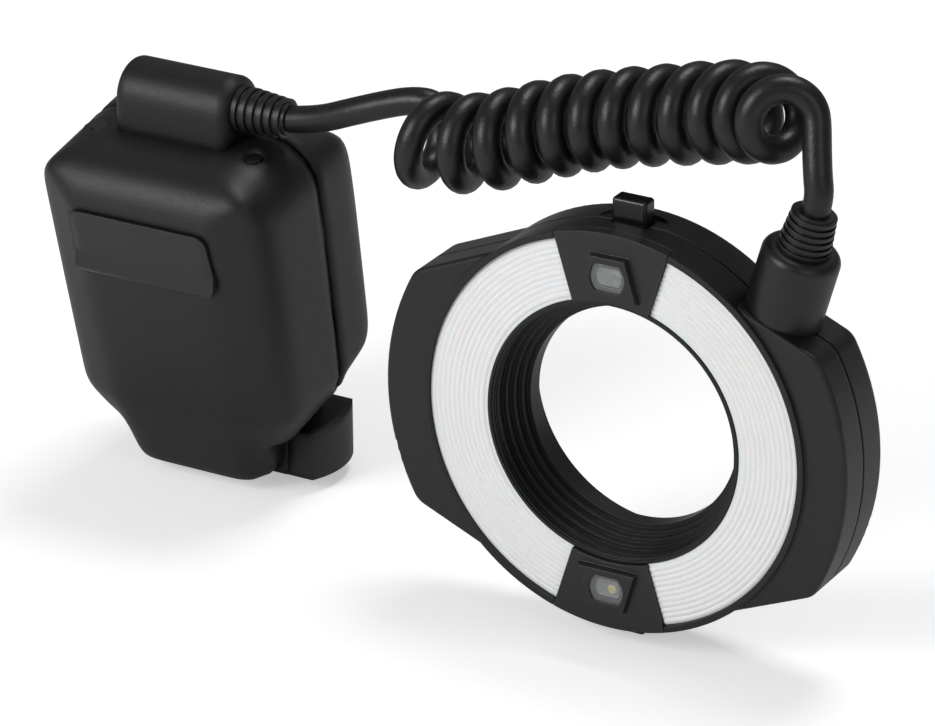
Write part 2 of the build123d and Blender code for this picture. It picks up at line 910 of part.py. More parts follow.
def function_places():
    """Places of the four function buttons along the back."""
    middle = (function_count - 1) / 2
    return [((index - middle) * function_pitch, function_place) for index in range(function_count)]


def function_outline(grow=0.0):
    """Outline of one function button."""
    return SlotOverall(function_width + 2 * grow, function_height + 2 * grow)


def control_holes():
    """Holes in the back wall for the buttons and the switch."""
    depth = unit_rear - 2 * shell_wall
    length = 4 * shell_wall
    key = back_from(depth, length, function_outline(button_gap))
    holes = [Pos(x, 0, z) * key for x, z in function_places()]
    ball = back_from(depth, length, Circle(round_radius + button_gap))
    holes.append(Pos(round_place_x, 0, test_place) * ball)
    holes.append(Pos(round_place_x, 0, lamp_place) * ball)
    holes.append(Pos(0, 0, dial_place) * back_from(depth, length, Circle(set_radius + button_gap)))
    slot = Rectangle(switch_width + switch_travel + 2 * button_gap, switch_height + 2 * button_gap)
    slot = Pos(switch_place_x + switch_travel / 2, switch_place) * slot
    holes.append(back_from(depth, length, slot))
    return holes


def dial_groove():
    """Round recess in the back that the dial turns in."""
    disc = Circle(dial_radius + running_gap)
    return Pos(0, 0, dial_place) * back_from(unit_rear - dial_sunk, 2 * dial_sunk, disc)


def make_rear_panel():
    """Thin panel over the back wall."""
    plate = back_from(unit_rear - panel_sunk, panel_sunk, panel_outline())
    window = Pos(0, window_rear_middle) * Rectangle(window_rear_width, window_rear_height)
    plate = plate - back_from(unit_rear - 2 * panel_sunk, 4 * panel_sunk, window)
    return plate - control_holes() - dial_groove()


def make_display_window():
    """Clear window flush with the rear panel."""
    outline = Pos(0, window_rear_middle) * Rectangle(window_rear_width, window_rear_height)
    return back_from(unit_rear - panel_sunk, panel_sunk, outline)


def make_display():
    """Display module behind the window, carried by the main board."""
    width = window_rear_width - 4 * overrun
    height = window_rear_height - 4 * overrun
    outline = Pos(0, window_rear_middle) * Rectangle(width, height)
    start = main_board_depth + board_thickness
    return back_from(start, unit_rear - panel_sunk - start, outline)


def make_small_button(outline, flange_outline, proud):
    """Button cap through the back wall, with a flange behind the wall."""
    inner = unit_rear - shell_wall
    cap = back_from(inner - button_flange_thickness, shell_wall + proud + button_flange_thickness, outline)
    cap = chamfer(cap.edges().group_by(Axis.Y)[-1], proud / 4)
    flange = back_from(inner - button_flange_thickness, button_flange_thickness, flange_outline)
    return cap + flange


def make_function_button(index):
    """One of the four function buttons."""
    x, z = function_places()[index]
    return Pos(x, 0, z) * make_small_button(function_outline(), function_outline(button_flange), cap_proud)


def make_round_button(height):
    """Round button at the right of the back."""
    button = make_small_button(Circle(round_radius), Circle(round_radius + button_flange), cap_proud)
    return Pos(round_place_x, 0, height) * button


def make_set_button():
    """Button in the middle of the dial."""
    button = make_small_button(Circle(set_radius), Circle(set_radius + button_flange), cap_proud)
    return Pos(0, 0, dial_place) * button


def make_select_dial():
    """Toothed dial that turns in its groove."""
    ring = washer(dial_radius - dial_tooth_depth, dial_inner_radius)
    start = unit_rear - dial_sunk + running_gap
    body = back_from(start, dial_sunk + dial_proud - running_gap, ring)
    tooth_width = pi * dial_radius / dial_tooth_count
    tooth = Pos(dial_radius - dial_tooth_depth, 0) * Rectangle(2 * dial_tooth_depth, tooth_width)
    for index in range(dial_tooth_count):
        bar = back_from(unit_rear + running_gap, dial_proud - 3 * running_gap, tooth)
        body = body + Rot(0, index * 360 / dial_tooth_count, 0) * bar
    return Pos(0, 0, dial_place) * body


def make_power_switch():
    """Sliding switch knob, held behind the wall by its foot plate."""
    inner = unit_rear - shell_wall
    knob = Pos(switch_place_x, switch_place) * Rectangle(switch_width, switch_height)
    foot = Rectangle(switch_width + 2 * overrun, switch_height + 2 * overrun)
    foot = Pos(switch_place_x, switch_place) * foot
    start = inner - button_flange_thickness
    body = back_from(start, unit_rear + switch_proud - start, knob)
    body = chamfer(body.edges().group_by(Axis.Y)[-1], switch_proud / 4)
    return body + back_from(start, button_flange_thickness, foot)


def make_main_board():
    """Board across the back of the case, carrying the display and the switches."""
    half = board_width / 2
    plate = bar_between(
        (-half, main_board_depth, board_bottom),
        (half, main_board_depth + board_thickness, board_top),
    )
    post = back_from(main_board_depth + board_thickness, board_standoff(), Circle(screw_head / 2))
    rows = (board_bottom + 2 * screw_head, board_top - 2 * screw_head)
    places = [(side * (half - screw_head), z) for side in (-1, 1) for z in rows]
    return plate + [Pos(x, 0, z) * post for x, z in places]


def board_standoff():
    """Gap between the main board and the case's back wall."""
    return unit_rear - shell_wall - main_board_depth - board_thickness


def make_badge():
    """Bare plate let into the case's face, standing proud at its lower edge."""
    return badge_solid(0.0)


def badge_solid(grow):
    """Plate that follows the face and bends out at its lower edge, or its pocket when grown."""
    top_half = badge_width / 2 + grow
    low_half = badge_low_width / 2 + grow
    low = badge_bottom - grow
    high = badge_top + grow
    points = [(-low_half, low), (low_half, low), (top_half, high), (-top_half, high)]
    outline = make_face(Polyline(*points, close=True))
    outline = fillet(outline.vertices(), badge_corner)
    block = back_from(-3 * crown_reach, 3 * crown_reach, outline)
    skin = Pos(0, -badge_proud, 0) * (side_solid() & flank_solid())
    plate = block & (skin + badge_chin())
    return plate - Pos(0, badge_thickness + grow, 0) * side_solid()


def badge_chin():
    """Wedge that stands out along the plate's lower edge."""
    face = -waist_reach - badge_proud
    points = [
        (0, badge_bottom - overrun),
        (face - chin_proud / 2, badge_bottom - overrun),
        (face - chin_proud, badge_bottom + overrun),
        (face - chin_proud, badge_bottom + chin_height / 2),
        (face - overrun / 2, badge_bottom + 2 * chin_height),
        (0, badge_bottom + 2 * chin_height),
    ]
    plane = Plane(origin=(0, 0, 0), x_dir=(0, 1, 0), z_dir=(1, 0, 0))
    return extrude(plane * make_face(Polyline(*points, close=True)), amount=unit_width, both=True)


def cell_places():
    """Middle lines of the four cells, as depth and height."""
    half = cell_pitch / 2
    signs = [(a, b) for a in (-1, 1) for b in (-1, 1)]
    return [(cell_middle_depth + a * half, cell_middle_height + b * half) for a, b in signs]


def make_battery_case():
    """Tray with four round pockets, open towards the door."""
    half = cell_pitch / 2 + cell_radius + running_gap + case_wall
    end = cell_start + cell_length + contact_length
    block = bar_between(
        (cell_start, cell_middle_depth - half, cell_middle_height - half),
        (end + case_wall, cell_middle_depth + half, cell_middle_height + half),
    )
    for depth, height in cell_places():
        bore = Rot(0, 90, 0) * Cylinder(cell_radius + running_gap, end - cell_start + overrun)
        block = block - Pos((cell_start + end - overrun) / 2, depth, height) * bore
    back = main_board_depth - running_gap
    return block & bar_between((-unit_width, 0, -unit_width), (unit_width, back, unit_width))


def make_cells():
    """Four cells, side by side, with their end caps."""
    cells = []
    for depth, height in cell_places():
        can = Rot(0, 90, 0) * Cylinder(cell_radius, cell_length - overrun)
        tip = Rot(0, 90, 0) * Cylinder(cell_radius / 3, overrun)
        end = cell_start + cell_length
        cell = Pos(end - (cell_length + overrun) / 2, depth, height) * can
        cells.append(cell + Pos(end - overrun / 2, depth, height) * tip)
    return cells


def make_contacts():
    """Contact plates at the closed end of the battery case."""
    plates = []
    for depth, height in cell_places():
        plate = Rot(0, 90, 0) * Cylinder(contact_radius_share * cell_radius, contact_length)
        plates.append(Pos(cell_start + cell_length + contact_length / 2, depth, height) * plate)
    return plates


def make_battery_door():
    """Battery door on the -X side, flush with the case, with its hinge barrel at the front."""
    skin = (case_solid() - case_solid(shell_wall)) & door_box()
    clear = bar_between((-unit_width, -unit_width, -unit_width), (0, door_front, unit_width))
    skin = skin - clear
    skin = skin + door_pin_solid(door_barrel_radius, 0)
    return skin - door_pin_solid(door_pin_bore, overrun)


def make_door_pin():
    """Hinge pin of the battery door."""
    return door_pin_solid(door_pin_radius, door_pin_hold - running_gap)


def make_capacitor():
    """Main capacitor, lying across the case above the batteries."""
    can = Rot(0, 90, 0) * Cylinder(capacitor_radius, capacitor_length)
    return Pos(0, capacitor_depth, capacitor_height) * can


def make_capacitor_cradle():
    """Saddle that holds the capacitor on the battery case."""
    half = cell_pitch / 2 + cell_radius + running_gap + case_wall
    low = cell_middle_height + half
    block = bar_between(
        (-capacitor_length / 4, capacitor_depth - capacitor_radius / 2, low),
        (capacitor_length / 4, capacitor_depth + capacitor_radius / 2, capacitor_height),
    )
    return block - make_capacitor()


def make_transformer():
    """Step-up transformer on the main board, under the batteries: a core round its winding."""
    front = main_board_depth - transformer_depth
    core_front = front + (transformer_depth - core_depth) / 2
    core = back_from(core_front, core_depth, Rectangle(transformer_width, transformer_height))
    coil = RectangleRounded(winding_width, winding_height, winding_corner)
    winding = back_from(front, transformer_depth, coil)
    return Pos(0, 0, transformer_middle) * (core + winding)


def make_housing_screws():
    """Two screws in the recesses of the case's top."""
    height = unit_top - screw_sunk - screw_head / 2
    screw = Pos(0, screw_place_depth, height) * Cylinder(screw_radius, screw_head)
    return [Pos(side * screw_place_x, 0, 0) * screw for side in (-1, 1)]


# cable housing and foot, upright in the row frame

def unit_frame():
    """Location of the leaning case's frame."""
    return Location((unit_place_x, unit_case_depth, unit_foot_height), (unit_lean_deg, 0, 0))


def ring_frame():
    """Location of the ring's centre."""
    return Location((ring_place_x, ring_face_depth, ring_height))


def make_cable_housing():
    """Housing with a half-round top across the case, where the cord comes out."""
    radius = housing_depth / 2
    height = housing_root
    lower_part = Pos(0, -radius / 2) * Rectangle(housing_depth, height - radius)
    profile = Pos(0, height / 2 - radius) * Circle(radius) + lower_part
    plane = Plane(origin=(0, 0, 0), x_dir=(0, 1, 0), z_dir=(1, 0, 0))
    bar = extrude(plane * profile, amount=housing_width / 2, both=True)
    ends = bar.edges().group_by(Axis.X)[0] + bar.edges().group_by(Axis.X)[-1]
    bar = fillet([e for e in ends if e.center().Z > -height / 4], housing_edge)
    place = Pos(unit_place_x + housing_shift, housing_front + radius, housing_top - height / 2)
    return place * bar - unit_frame() * case_solid()


def housing_end():
    """Place across the row of the cable housing's +X end."""
    return unit_place_x + housing_shift + housing_width / 2


def make_head_relief():
    """Strain relief on the head's boss."""
    return boss_frame(0) * make_relief(head_relief_base, head_relief_tip, head_relief_length)


def make_unit_relief():
    """Strain relief that leaves the housing towards +X."""
    relief = Rot(0, 90, 0) * make_relief(unit_relief_base, unit_relief_tip, unit_relief_length)
    place = (housing_end(), housing_front + housing_depth / 2, unit_relief_height)
    return Pos(*place) * relief


def foot_middle():
    """Middle of the foot's depth."""
    return block_front + block_depth / 2


def make_foot_block():
    """Block between the case and the shoe plate, round at its lever end."""
    top = unit_foot_height
    block = bar_between(
        (-block_half_width, -block_depth / 2, block_floor),
        (block_half_width, block_depth / 2, top),
    )
    round_end = extrude(Circle(block_half_width), amount=top)
    block = block & round_end
    slot = bar_between(
        (-lever_hub_radius - loose_gap, -lever_hub_radius - loose_gap, lever_arm_height - loose_gap),
        (block_half_width + overrun, block_depth, lever_arm_height + lever_arm_thickness + loose_gap),
    )
    block = block - slot
    block = block + Pos(0, 0, lever_arm_height + lever_arm_thickness / 2) * Cylinder(
        lever_post_radius, lever_arm_thickness + 2 * overrun
    )
    block = Pos(unit_place_x, foot_middle(), 0) * block
    pin_hole = Cylinder(pin_radius + running_gap, 4 * block_floor)
    block = block - Pos(unit_place_x, foot_middle() + pin_offset(), 0) * pin_hole
    block = block - release_hole()
    return block - unit_frame() * case_solid()


def pin_offset():
    """Distance of the lock pin in front of the foot's middle."""
    return -shoe_length * pin_offset_share


def make_shoe_plate():
    """Metal plate that slides into a camera's accessory shoe, with its neck."""
    plate = bar_between(
        (-shoe_width / 2, -shoe_length / 2, 0),
        (shoe_width / 2, shoe_length / 2, shoe_thickness),
    )
    plate = chamfer(plate.edges().filter_by(Axis.Z), overrun)
    neck = bar_between(
        (-neck_width / 2, -shoe_length / 2, shoe_thickness),
        (neck_width / 2, shoe_length / 2, block_floor),
    )
    foot = plate + neck
    hole = Pos(0, pin_offset(), 0) * Cylinder(pin_radius + running_gap, 4 * block_floor)
    foot = foot - hole
    for x, y in contact_places():
        foot = foot - Pos(x, y, 0) * Cylinder(contact_radius, shoe_thickness)
    return Pos(unit_place_x, foot_middle(), 0) * foot


def contact_places():
    """Places of the five contacts under the shoe plate."""
    s = contact_spread
    return [(0, 0), (-s, -s / 2), (s, -s / 2), (-s, s), (s, s)]


def make_shoe_contacts():
    """Five flat contacts set in the shoe plate, flush with its underside."""
    depth = shoe_thickness / 2
    contacts = []
    for x, y in contact_places():
        disc = Pos(x, y, depth / 2) * Cylinder(contact_radius, depth)
        contacts.append(Pos(unit_place_x, foot_middle(), 0) * disc)
    return contacts


def make_lock_lever():
    """Lever that turns about the foot's middle, with its bulging grip at the +X end of the block."""
    hub = Cylinder(lever_hub_radius, lever_arm_thickness)
    hub = hub - Cylinder(lever_post_radius + running_gap, lever_arm_thickness)
    arm = bar_between(
        (lever_post_radius + 2 * running_gap, -lever_arm_width / 2, -lever_arm_thickness / 2),
        (block_half_width + lever_thickness / 2, lever_arm_width / 2, lever_arm_thickness / 2),
    )
    body = Pos(0, 0, lever_arm_height + lever_arm_thickness / 2) * (hub + arm)
    inner = block_half_width + loose_gap
    outer = inner + lever_thickness
    front = lever_front - foot_middle()
    rear = lever_rear - foot_middle()
    outline = make_face(
        Polyline((outer, front), (0, front), (0, rear), (outer, rear))
        + ThreePointArc((outer, rear), (outer + lever_bulge, (front + rear) / 4), (outer, front))
    )
    grip = Pos(0, 0, block_floor) * extrude(outline, amount=lever_top - block_floor)
    grip = grip - Pos(0, 0, lever_top / 2) * Cylinder(inner, 2 * lever_top)
    side = [(front, block_floor), (rear, block_floor), (rear, lever_top), (front, lever_top_front)]
    plane = Plane(origin=(inner, 0, 0), x_dir=(0, 1, 0), z_dir=(1, 0, 0))
    edge = extrude(plane * make_face(Polyline(*side, close=True)), amount=lever_thickness, both=True)
    grip = grip & (edge + Pos(lever_thickness, 0, 0) * edge)
    return Pos(unit_place_x, foot_middle(), 0) * (body + grip)


def make_lock_pin():
    """Pin that comes out of the shoe plate when the lever locks."""
    length = lever_arm_height - loose_gap - running_gap - contact_proud
    pin = Pos(0, 0, length / 2 + contact_proud) * Cylinder(pin_radius, length)
    return Pos(unit_place_x, foot_middle() + pin_offset(), 0) * pin


def release_hole():
    """Blind hole in the block's back for the lock release button."""
    hole = Rot(90, 0, 0) * Cylinder(round_radius + button_gap, block_depth / 2)
    return Pos(unit_place_x - block_half_width / 2, block_front + block_depth, release_height()) * hole


def release_height():
    """Height of the lock release button."""
    return lever_arm_height + lever_arm_thickness + 2 * round_radius


def make_lock_release():
    """Button in the back of the foot block that frees the lever."""
    length = block_depth / 4 + cap_proud - small_travel
    cap = Rot(90, 0, 0) * Cylinder(round_radius, length)
    middle = block_front + block_depth + cap_proud - length / 2
    return Pos(unit_place_x - block_half_width / 2, middle, release_height()) * cap


# cord

def line_share(share):
    """Weights of the coil line's points at a share of its length."""
    last = len(coil_line) - 1
    return [comb(last, k) * (1 - share) ** (last - k) * share**k for k in range(last + 1)]


def line_value(share, place):
    """One coordinate of the coil line: x, y, z or the coil's radius."""
    return sum(weight * point[place] for weight, point in zip(line_share(share), coil_line))


def axis_point(share):
    """Point of the coil's curved middle line."""
    x, y, z = (line_value(share, place) for place in range(3))
    return Vector(x, y + row_shift, z)


def axis_tangent(share):
    """Direction of the coil's middle line."""
    step = 1 / (coil_turn_count * 360)
    return (axis_point(share + step) - axis_point(share - step)).normalized()


def coil_point(share):
    """Point of the cord's middle line in the coil, which climbs and runs over to the back."""
    along = axis_tangent(share)
    upward = (Vector(0, 0, 1) - along * along.Z).normalized()
    backward = upward.cross(along)
    turn = radians(coil_start_turn_deg) + 2 * pi * coil_turn_count * share
    return axis_point(share) + (upward * cos(turn) + backward * sin(turn)) * line_value(share, 3)


def coil_tangent(share):
    """Direction of the cord in the coil."""
    step = 1 / (coil_turn_count * 720)
    return (coil_point(share + step) - coil_point(share - step)).normalized()


def biarc(start, start_way, end, end_way):
    """Two arcs from point to point that leave and arrive along given directions."""
    chord = end - start
    ways = start_way + end_way
    spread = 2 * (1 - start_way.dot(end_way))
    lean = chord.dot(ways)
    reach = (-lean + (lean * lean + spread * chord.dot(chord)) ** 0.5) / spread
    join = (start + end + (start_way - end_way) * reach) * 0.5
    first = Edge.make_tangent_arc(start, start_way, join)
    second = Edge.make_tangent_arc(end, end_way * -1, join)
    second = Edge.make_three_point_arc(join, second.position_at(0.5), end)
    return [first, second]


def coil_ends():
    """Outer ends of the coil's straight tips, and the directions there."""
    tip = 2 * cord_radius
    entry = Vector(*coil_entry) + Vector(0, row_shift, 0)
    entry_way = Vector(*coil_entry_way).normalized()
    end_way = coil_tangent(1)
    return entry - entry_way * tip, entry_way, coil_point(1) + end_way * tip, end_way


def make_cord_coil():
    """Coil of the curly cord: half turns of two arcs each, with straight tips."""
    spans = 2 * coil_turn_count
    start, start_way, end, _ = coil_ends()
    entry = start + start_way * 2 * cord_radius
    edges = [Edge.make_line(start, entry)]
    edges += biarc(entry, start_way, coil_point(0), coil_tangent(0))
    for index in range(spans):
        low = index / spans
        high = (index + 1) / spans
        edges += biarc(coil_point(low), coil_tangent(low), coil_point(high), coil_tangent(high))
    edges.append(Edge.make_line(coil_point(1), end))
    path = Wire(edges)
    section = Plane(origin=path @ 0, z_dir=path % 0) * Circle(cord_radius)
    print("cord_coil length", round(path.length, 1))
    return sweep(section, path=path)


def coil_gap():
    """Least distance between neighbouring turns of the coil, skin to skin, measured on points."""
    count = coil_turn_count * coil_gap_points
    points = [coil_point(i / count) for i in range(count + 1)]
    least = unit_spacing
    for i in range(count + 1):
        for j in range(i + coil_gap_points // 2, min(i + 2 * coil_gap_points, count + 1)):
            least = min(least, (points[i] - points[j]).length - 2 * cord_radius)
    return least


def unit_cord_points():
    """Route of the cord from the control unit's strain relief to the coil."""
    exit_x = housing_end() + unit_relief_length
    start = Vector(exit_x, housing_front + housing_depth / 2, unit_relief_height)
    tip, way, _, _ = coil_ends()
    return [start, start + Vector(unit_lead_out, 0, 0), tip - way * unit_lead_in, tip]


def head_cord_points():
    """Route of the cord from the coil to the head's strain relief."""
    _, _, tip, way = coil_ends()
    top = ring_frame() * boss_frame(head_relief_length)
    tilt = radians(boss_tilt_deg)
    way_out = Vector(sin(tilt), 0, cos(tilt))
    end = Vector(*top.position)
    return [tip, tip + way * head_lead_out, end + way_out * head_lead_in, end]


def route_radii(points):
    """Largest arc that each corner's two runs allow."""
    radii = []
    for before, corner, after in zip(points, points[1:], points[2:]):
        a = corner - before
        b = after - corner
        turn = radians(a.get_angle(b))
        radii.append(arc_share * min(a.length, b.length) * cos(turn / 2) / sin(turn / 2))
    return radii


def make_cord_lead(points, name):
    """Plain stretch of the cord along straight runs joined by arcs."""
    radii = route_radii(points)
    print(name, "points", [tuple(round(c, 2) for c in p) for p in points])
    path = FilletPolyline(*points, radius=radii)
    section = Plane(origin=path @ 0, z_dir=path % 0) * Circle(cord_radius)
    print(name, "arc radii", [round(r, 1) for r in radii], "length", round(path.length, 1))
    return sweep(section, path=path)


# assembly

def in_ring(shape):
    """Place a head piece in the row frame."""
    return ring_frame() * shape


def in_unit(shape):
    """Place a case piece in the row frame."""
    return unit_frame() * shape


def as_group(shapes, place):
    """Several like solids as one node."""
    return Compound(children=[place(s) for s in shapes])


def lower(shape):
    """A top piece turned half way round the lens axis, for the bottom."""
    return Rot(0, 180, 0) * shape


def ring_nodes():
    """All pieces of the ring head."""
    nodes = {
        "ring_front_cover": in_ring(make_front_cover()),
        "ring_rear_cover": in_ring(make_rear_cover()),
        "bore_sleeve": in_ring(make_bore_sleeve()),
        "ring_board": in_ring(make_ring_board()),
        "cable_boss": in_ring(make_cable_boss()),
        "head_strain_relief": in_ring(make_head_relief()),
        "head_screws": as_group(make_head_screws(), in_ring),
    }
    for name, side in (("right", 1), ("left", -1)):
        nodes["diffuser_" + name] = in_ring(make_diffuser(side))
        nodes["reflector_" + name] = in_ring(make_reflector(side))
        nodes["flash_tube_" + name] = in_ring(make_flash_tube(side))
    makers = {
        "sector_cover": make_sector_cover(),
        "lamp_window": make_lamp_window(),
        "lamp": make_lamp(),
        "release_button": make_release_button(),
        "release_spring": make_release_spring(),
    }
    for name, shape in makers.items():
        nodes[name + "_top"] = in_ring(shape)
        nodes[name + "_bottom"] = in_ring(lower(shape))
    return nodes


def unit_nodes():
    """All pieces of the control unit."""
    nodes = {
        "front_shell": in_unit(make_front_shell()),
        "rear_shell": in_unit(make_rear_shell()),
        "face_plate": in_unit(make_badge()),
        "rear_panel": in_unit(make_rear_panel()),
        "display_window": in_unit(make_display_window()),
        "display": in_unit(make_display()),
        "main_board": in_unit(make_main_board()),
        "battery_case": in_unit(make_battery_case()),
        "battery_cells": as_group(make_cells(), in_unit),
        "battery_contacts": as_group(make_contacts(), in_unit),
        "battery_door": in_unit(make_battery_door()),
        "door_pin": in_unit(make_door_pin()),
        "capacitor": in_unit(make_capacitor()),
        "capacitor_cradle": in_unit(make_capacitor_cradle()),
        "transformer": in_unit(make_transformer()),
        "case_screws": as_group(make_housing_screws(), in_unit),
        "select_dial": in_unit(make_select_dial()),
        "set_button": in_unit(make_set_button()),
        "test_button": in_unit(make_round_button(test_place)),
        "lamp_button": in_unit(make_round_button(lamp_place)),
        "power_switch": in_unit(make_power_switch()),
        "cable_housing": make_cable_housing(),
        "unit_strain_relief": make_unit_relief(),
        "foot_block": make_foot_block(),
        "shoe_plate": make_shoe_plate(),
        "shoe_contacts": Compound(children=make_shoe_contacts()),
        "lock_lever": make_lock_lever(),
        "lock_pin": make_lock_pin(),
        "lock_release_button": make_lock_release(),
    }
    for index in range(function_count):
        nodes["function_button_%d" % (index + 1)] = in_unit(make_function_button(index))
    return nodes


def cord_nodes():
    """The cord's two plain stretches and its coil."""
    print("coil least gap to itself", round(coil_gap(), 2))
    return {
        "cord_lead_unit": make_cord_lead(unit_cord_points(), "cord_lead_unit"),
        "cord_coil": make_cord_coil(),
        "cord_lead_head": make_cord_lead(head_cord_points(), "cord_lead_head"),
    }


def main():
    """Write one STEP file for each node."""
    os.makedirs("parts", exist_ok=True)
    for group in (ring_nodes(), unit_nodes(), cord_nodes()):
        for name, shape in group.items():
            export_step(shape, "parts/%s.step" % name)


main()
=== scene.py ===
"""Looks of a macro ring flash: a control unit on its foot, a ring head and the curly cord between them.

Lengths are in metres unless a name or comment says millimetres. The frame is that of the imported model:
+Z up, -Y the way the light faces.
"""

import json
import logging
import math
from collections.abc import Iterable
from dataclasses import dataclass
from enum import Enum

import bmesh
import bpy
from mathutils import Matrix, Vector

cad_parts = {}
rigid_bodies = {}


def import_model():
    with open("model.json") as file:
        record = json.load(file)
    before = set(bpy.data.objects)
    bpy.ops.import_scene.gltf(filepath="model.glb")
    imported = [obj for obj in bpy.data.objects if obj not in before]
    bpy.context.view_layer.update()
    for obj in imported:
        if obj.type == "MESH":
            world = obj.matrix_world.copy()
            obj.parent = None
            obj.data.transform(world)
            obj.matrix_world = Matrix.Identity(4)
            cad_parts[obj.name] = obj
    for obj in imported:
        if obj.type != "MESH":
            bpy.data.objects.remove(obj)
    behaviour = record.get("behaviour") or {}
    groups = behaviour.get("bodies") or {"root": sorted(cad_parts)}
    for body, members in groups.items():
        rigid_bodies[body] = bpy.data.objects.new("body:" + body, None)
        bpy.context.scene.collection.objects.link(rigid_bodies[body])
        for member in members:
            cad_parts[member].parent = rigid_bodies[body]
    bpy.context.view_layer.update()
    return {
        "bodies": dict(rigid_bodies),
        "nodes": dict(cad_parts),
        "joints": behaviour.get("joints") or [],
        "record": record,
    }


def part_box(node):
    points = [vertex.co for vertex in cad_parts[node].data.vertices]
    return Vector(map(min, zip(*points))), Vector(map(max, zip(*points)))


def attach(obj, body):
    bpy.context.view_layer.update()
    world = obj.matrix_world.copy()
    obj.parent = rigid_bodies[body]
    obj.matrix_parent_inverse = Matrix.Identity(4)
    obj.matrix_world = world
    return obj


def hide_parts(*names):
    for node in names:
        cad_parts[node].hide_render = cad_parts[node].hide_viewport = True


Triple = tuple[float, float, float]
Socket = bpy.types.NodeSocket
Inputs = dict[str | int, object]

LOG = logging.getLogger("ring_flash")
MM = 0.001
BODY = "flash"
WHITE = (1.0, 1.0, 1.0)

# Rays that a Bevel node takes at each point to round an edge.
BEVEL_SAMPLES = 4

# Sockets of a Mix node that mixes colours.
MIX_SHARE = 0
MIX_FIRST = 6
MIX_SECOND = 7
MIX_RESULT = 2


class Surface(Enum):
    """Kinds of finish that a piece or the floor can have."""

    CASE = "case_plastic"
    PLATE = "plate_plastic"
    HEAD = "head_plastic"
    BORE = "bore_plastic"
    BUTTON = "button_plastic"
    CONTROL = "control_plastic"
    RELIEF = "relief_rubber"
    CORD = "cord_rubber"
    DIFFUSER = "diffuser_white"
    REFLECTOR = "reflector_metal"
    TUBE = "tube_glass"
    WINDOW = "smoked_window"
    LAMP = "lamp_plastic"
    DISPLAY_GLASS = "display_glass"
    DISPLAY = "display_panel"
    BOARD = "board"
    INNER = "inner_plastic"
    CELL = "cell_wrap"
    CAN = "can_metal"
    CONTACT = "contact_brass"
    SCREW = "screw_steel"
    SPRING = "spring_steel"
    SHOE = "shoe_metal"
    CORE = "core_ferrite"
    CHIP = "lamp_chip"
    FLOOR = "floor_paper"


@dataclass(frozen=True)
class Layout:
    """Places that the pieces are built round."""

    ring_centre: Triple
    unit_x: float
    unit_y: float = -0.0171
    unit_z: float = 0.0571
    unit_lean_deg: float = 11.5

    @classmethod
    def read(cls, frame: dict) -> "Layout":
        """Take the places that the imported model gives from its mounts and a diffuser's front.

        Args:
            frame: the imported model.

        Returns:
            The layout.
        """
        mounts = {mount["name"]: mount["pos_m"] for mount in frame["record"]["mounts"]}
        ring_x, _, ring_z = mounts["lens_adapter"]
        lowest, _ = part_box("diffuser_right")
        return cls(ring_centre=(ring_x, lowest[1], ring_z), unit_x=mounts["accessory_shoe"][0])

    def ring(self) -> Matrix:
        """Place of the ring's centre on the front face of its light."""
        return Matrix.Translation(self.ring_centre)

    def unit(self) -> Matrix:
        """Place of the leaning case's own frame."""
        place = Matrix.Translation((self.unit_x, self.unit_y, self.unit_z))
        return place @ Matrix.Rotation(math.radians(self.unit_lean_deg), 4, "X")


def opaque(tone: Triple, gain: float = 1.0, lift: float = 0.0) -> tuple[float, ...]:
    """Full colour of a tone, each channel multiplied by a gain and raised by a lift."""
    return (*[channel * gain + lift for channel in tone], 1.0)


class NodeTree:
    """Small helper that adds, feeds and joins shader nodes."""

    def __init__(self, tree: bpy.types.NodeTree) -> None:
        """Take the tree that the nodes go into.

        Args:
            tree: a material's, a world's or a group's node tree.
        """
        self.tree = tree

    def feed(self, node: bpy.types.Node, inputs: Inputs) -> None:
        """Set a node's inputs, or join outputs of other nodes to them.

        Args:
            node: the node.
            inputs: a value or an output for each input, by its name or number.
        """
        for name, value in inputs.items():
            if isinstance(value, Socket):
                self.tree.links.new(value, node.inputs[name])
            else:
                node.inputs[name].default_value = value

    def add(self, kind: str, inputs: Inputs | None = None, **properties: object) -> bpy.types.Node:
        """Add a node.

        Args:
            kind: the node's type name.
            inputs: values or outputs for its inputs.
            properties: properties to set on the node, before its inputs.

        Returns:
            The new node.
        """
        node = self.tree.nodes.new(kind)
        for name, value in properties.items():
            setattr(node, name, value)
        self.feed(node, inputs or {})
        return node

    def maths(self, operation: str, *values: object) -> Socket:
        """Add a Math node.

        Args:
            operation: the node's operation.
            values: a number or an output for each of its inputs.

        Returns:
            The node's output.
        """
        return self.add("ShaderNodeMath", dict(enumerate(values)), operation=operation).outputs[0]

    def mix(self, share: object, first: object, second: object) -> Socket:
        """Mix two colours.

        Args:
            share: share of the second colour, a number or an output.
            first: a colour or an output.
            second: a colour or an output.

        Returns:
            The mixed colour.
        """
        inputs = {MIX_SHARE: share, MIX_FIRST: first, MIX_SECOND: second}
        return self.add("ShaderNodeMix", inputs, data_type="RGBA").outputs[MIX_RESULT]

    def relief(self, height: Socket, depth: float, edge_round: float = 0.0) -> Socket:
        """Normal of a fine relief, with rounded edges under it.

        Args:
            height: the relief's height, as an output.
            depth: how deep the relief is.
            edge_round: radius of the edges, or nought for edges as they are.

        Returns:
            The normal.
        """
        inputs = {"Distance": depth, "Height": height}
        if edge_round:
            rounded = self.add("ShaderNodeBevel", {"Radius": edge_round}, samples=BEVEL_SAMPLES)
            inputs["Normal"] = rounded.outputs["Normal"]
        return self.add("ShaderNodeBump", inputs).outputs["Normal"]

    def seen(self) -> Socket:
        """One for rays from the camera, also through a window, and nought for all others."""
        path = self.add("ShaderNodeLightPath")
        return self.maths("MAXIMUM", path.outputs["Is Camera Ray"], path.outputs["Is Transmission Ray"])


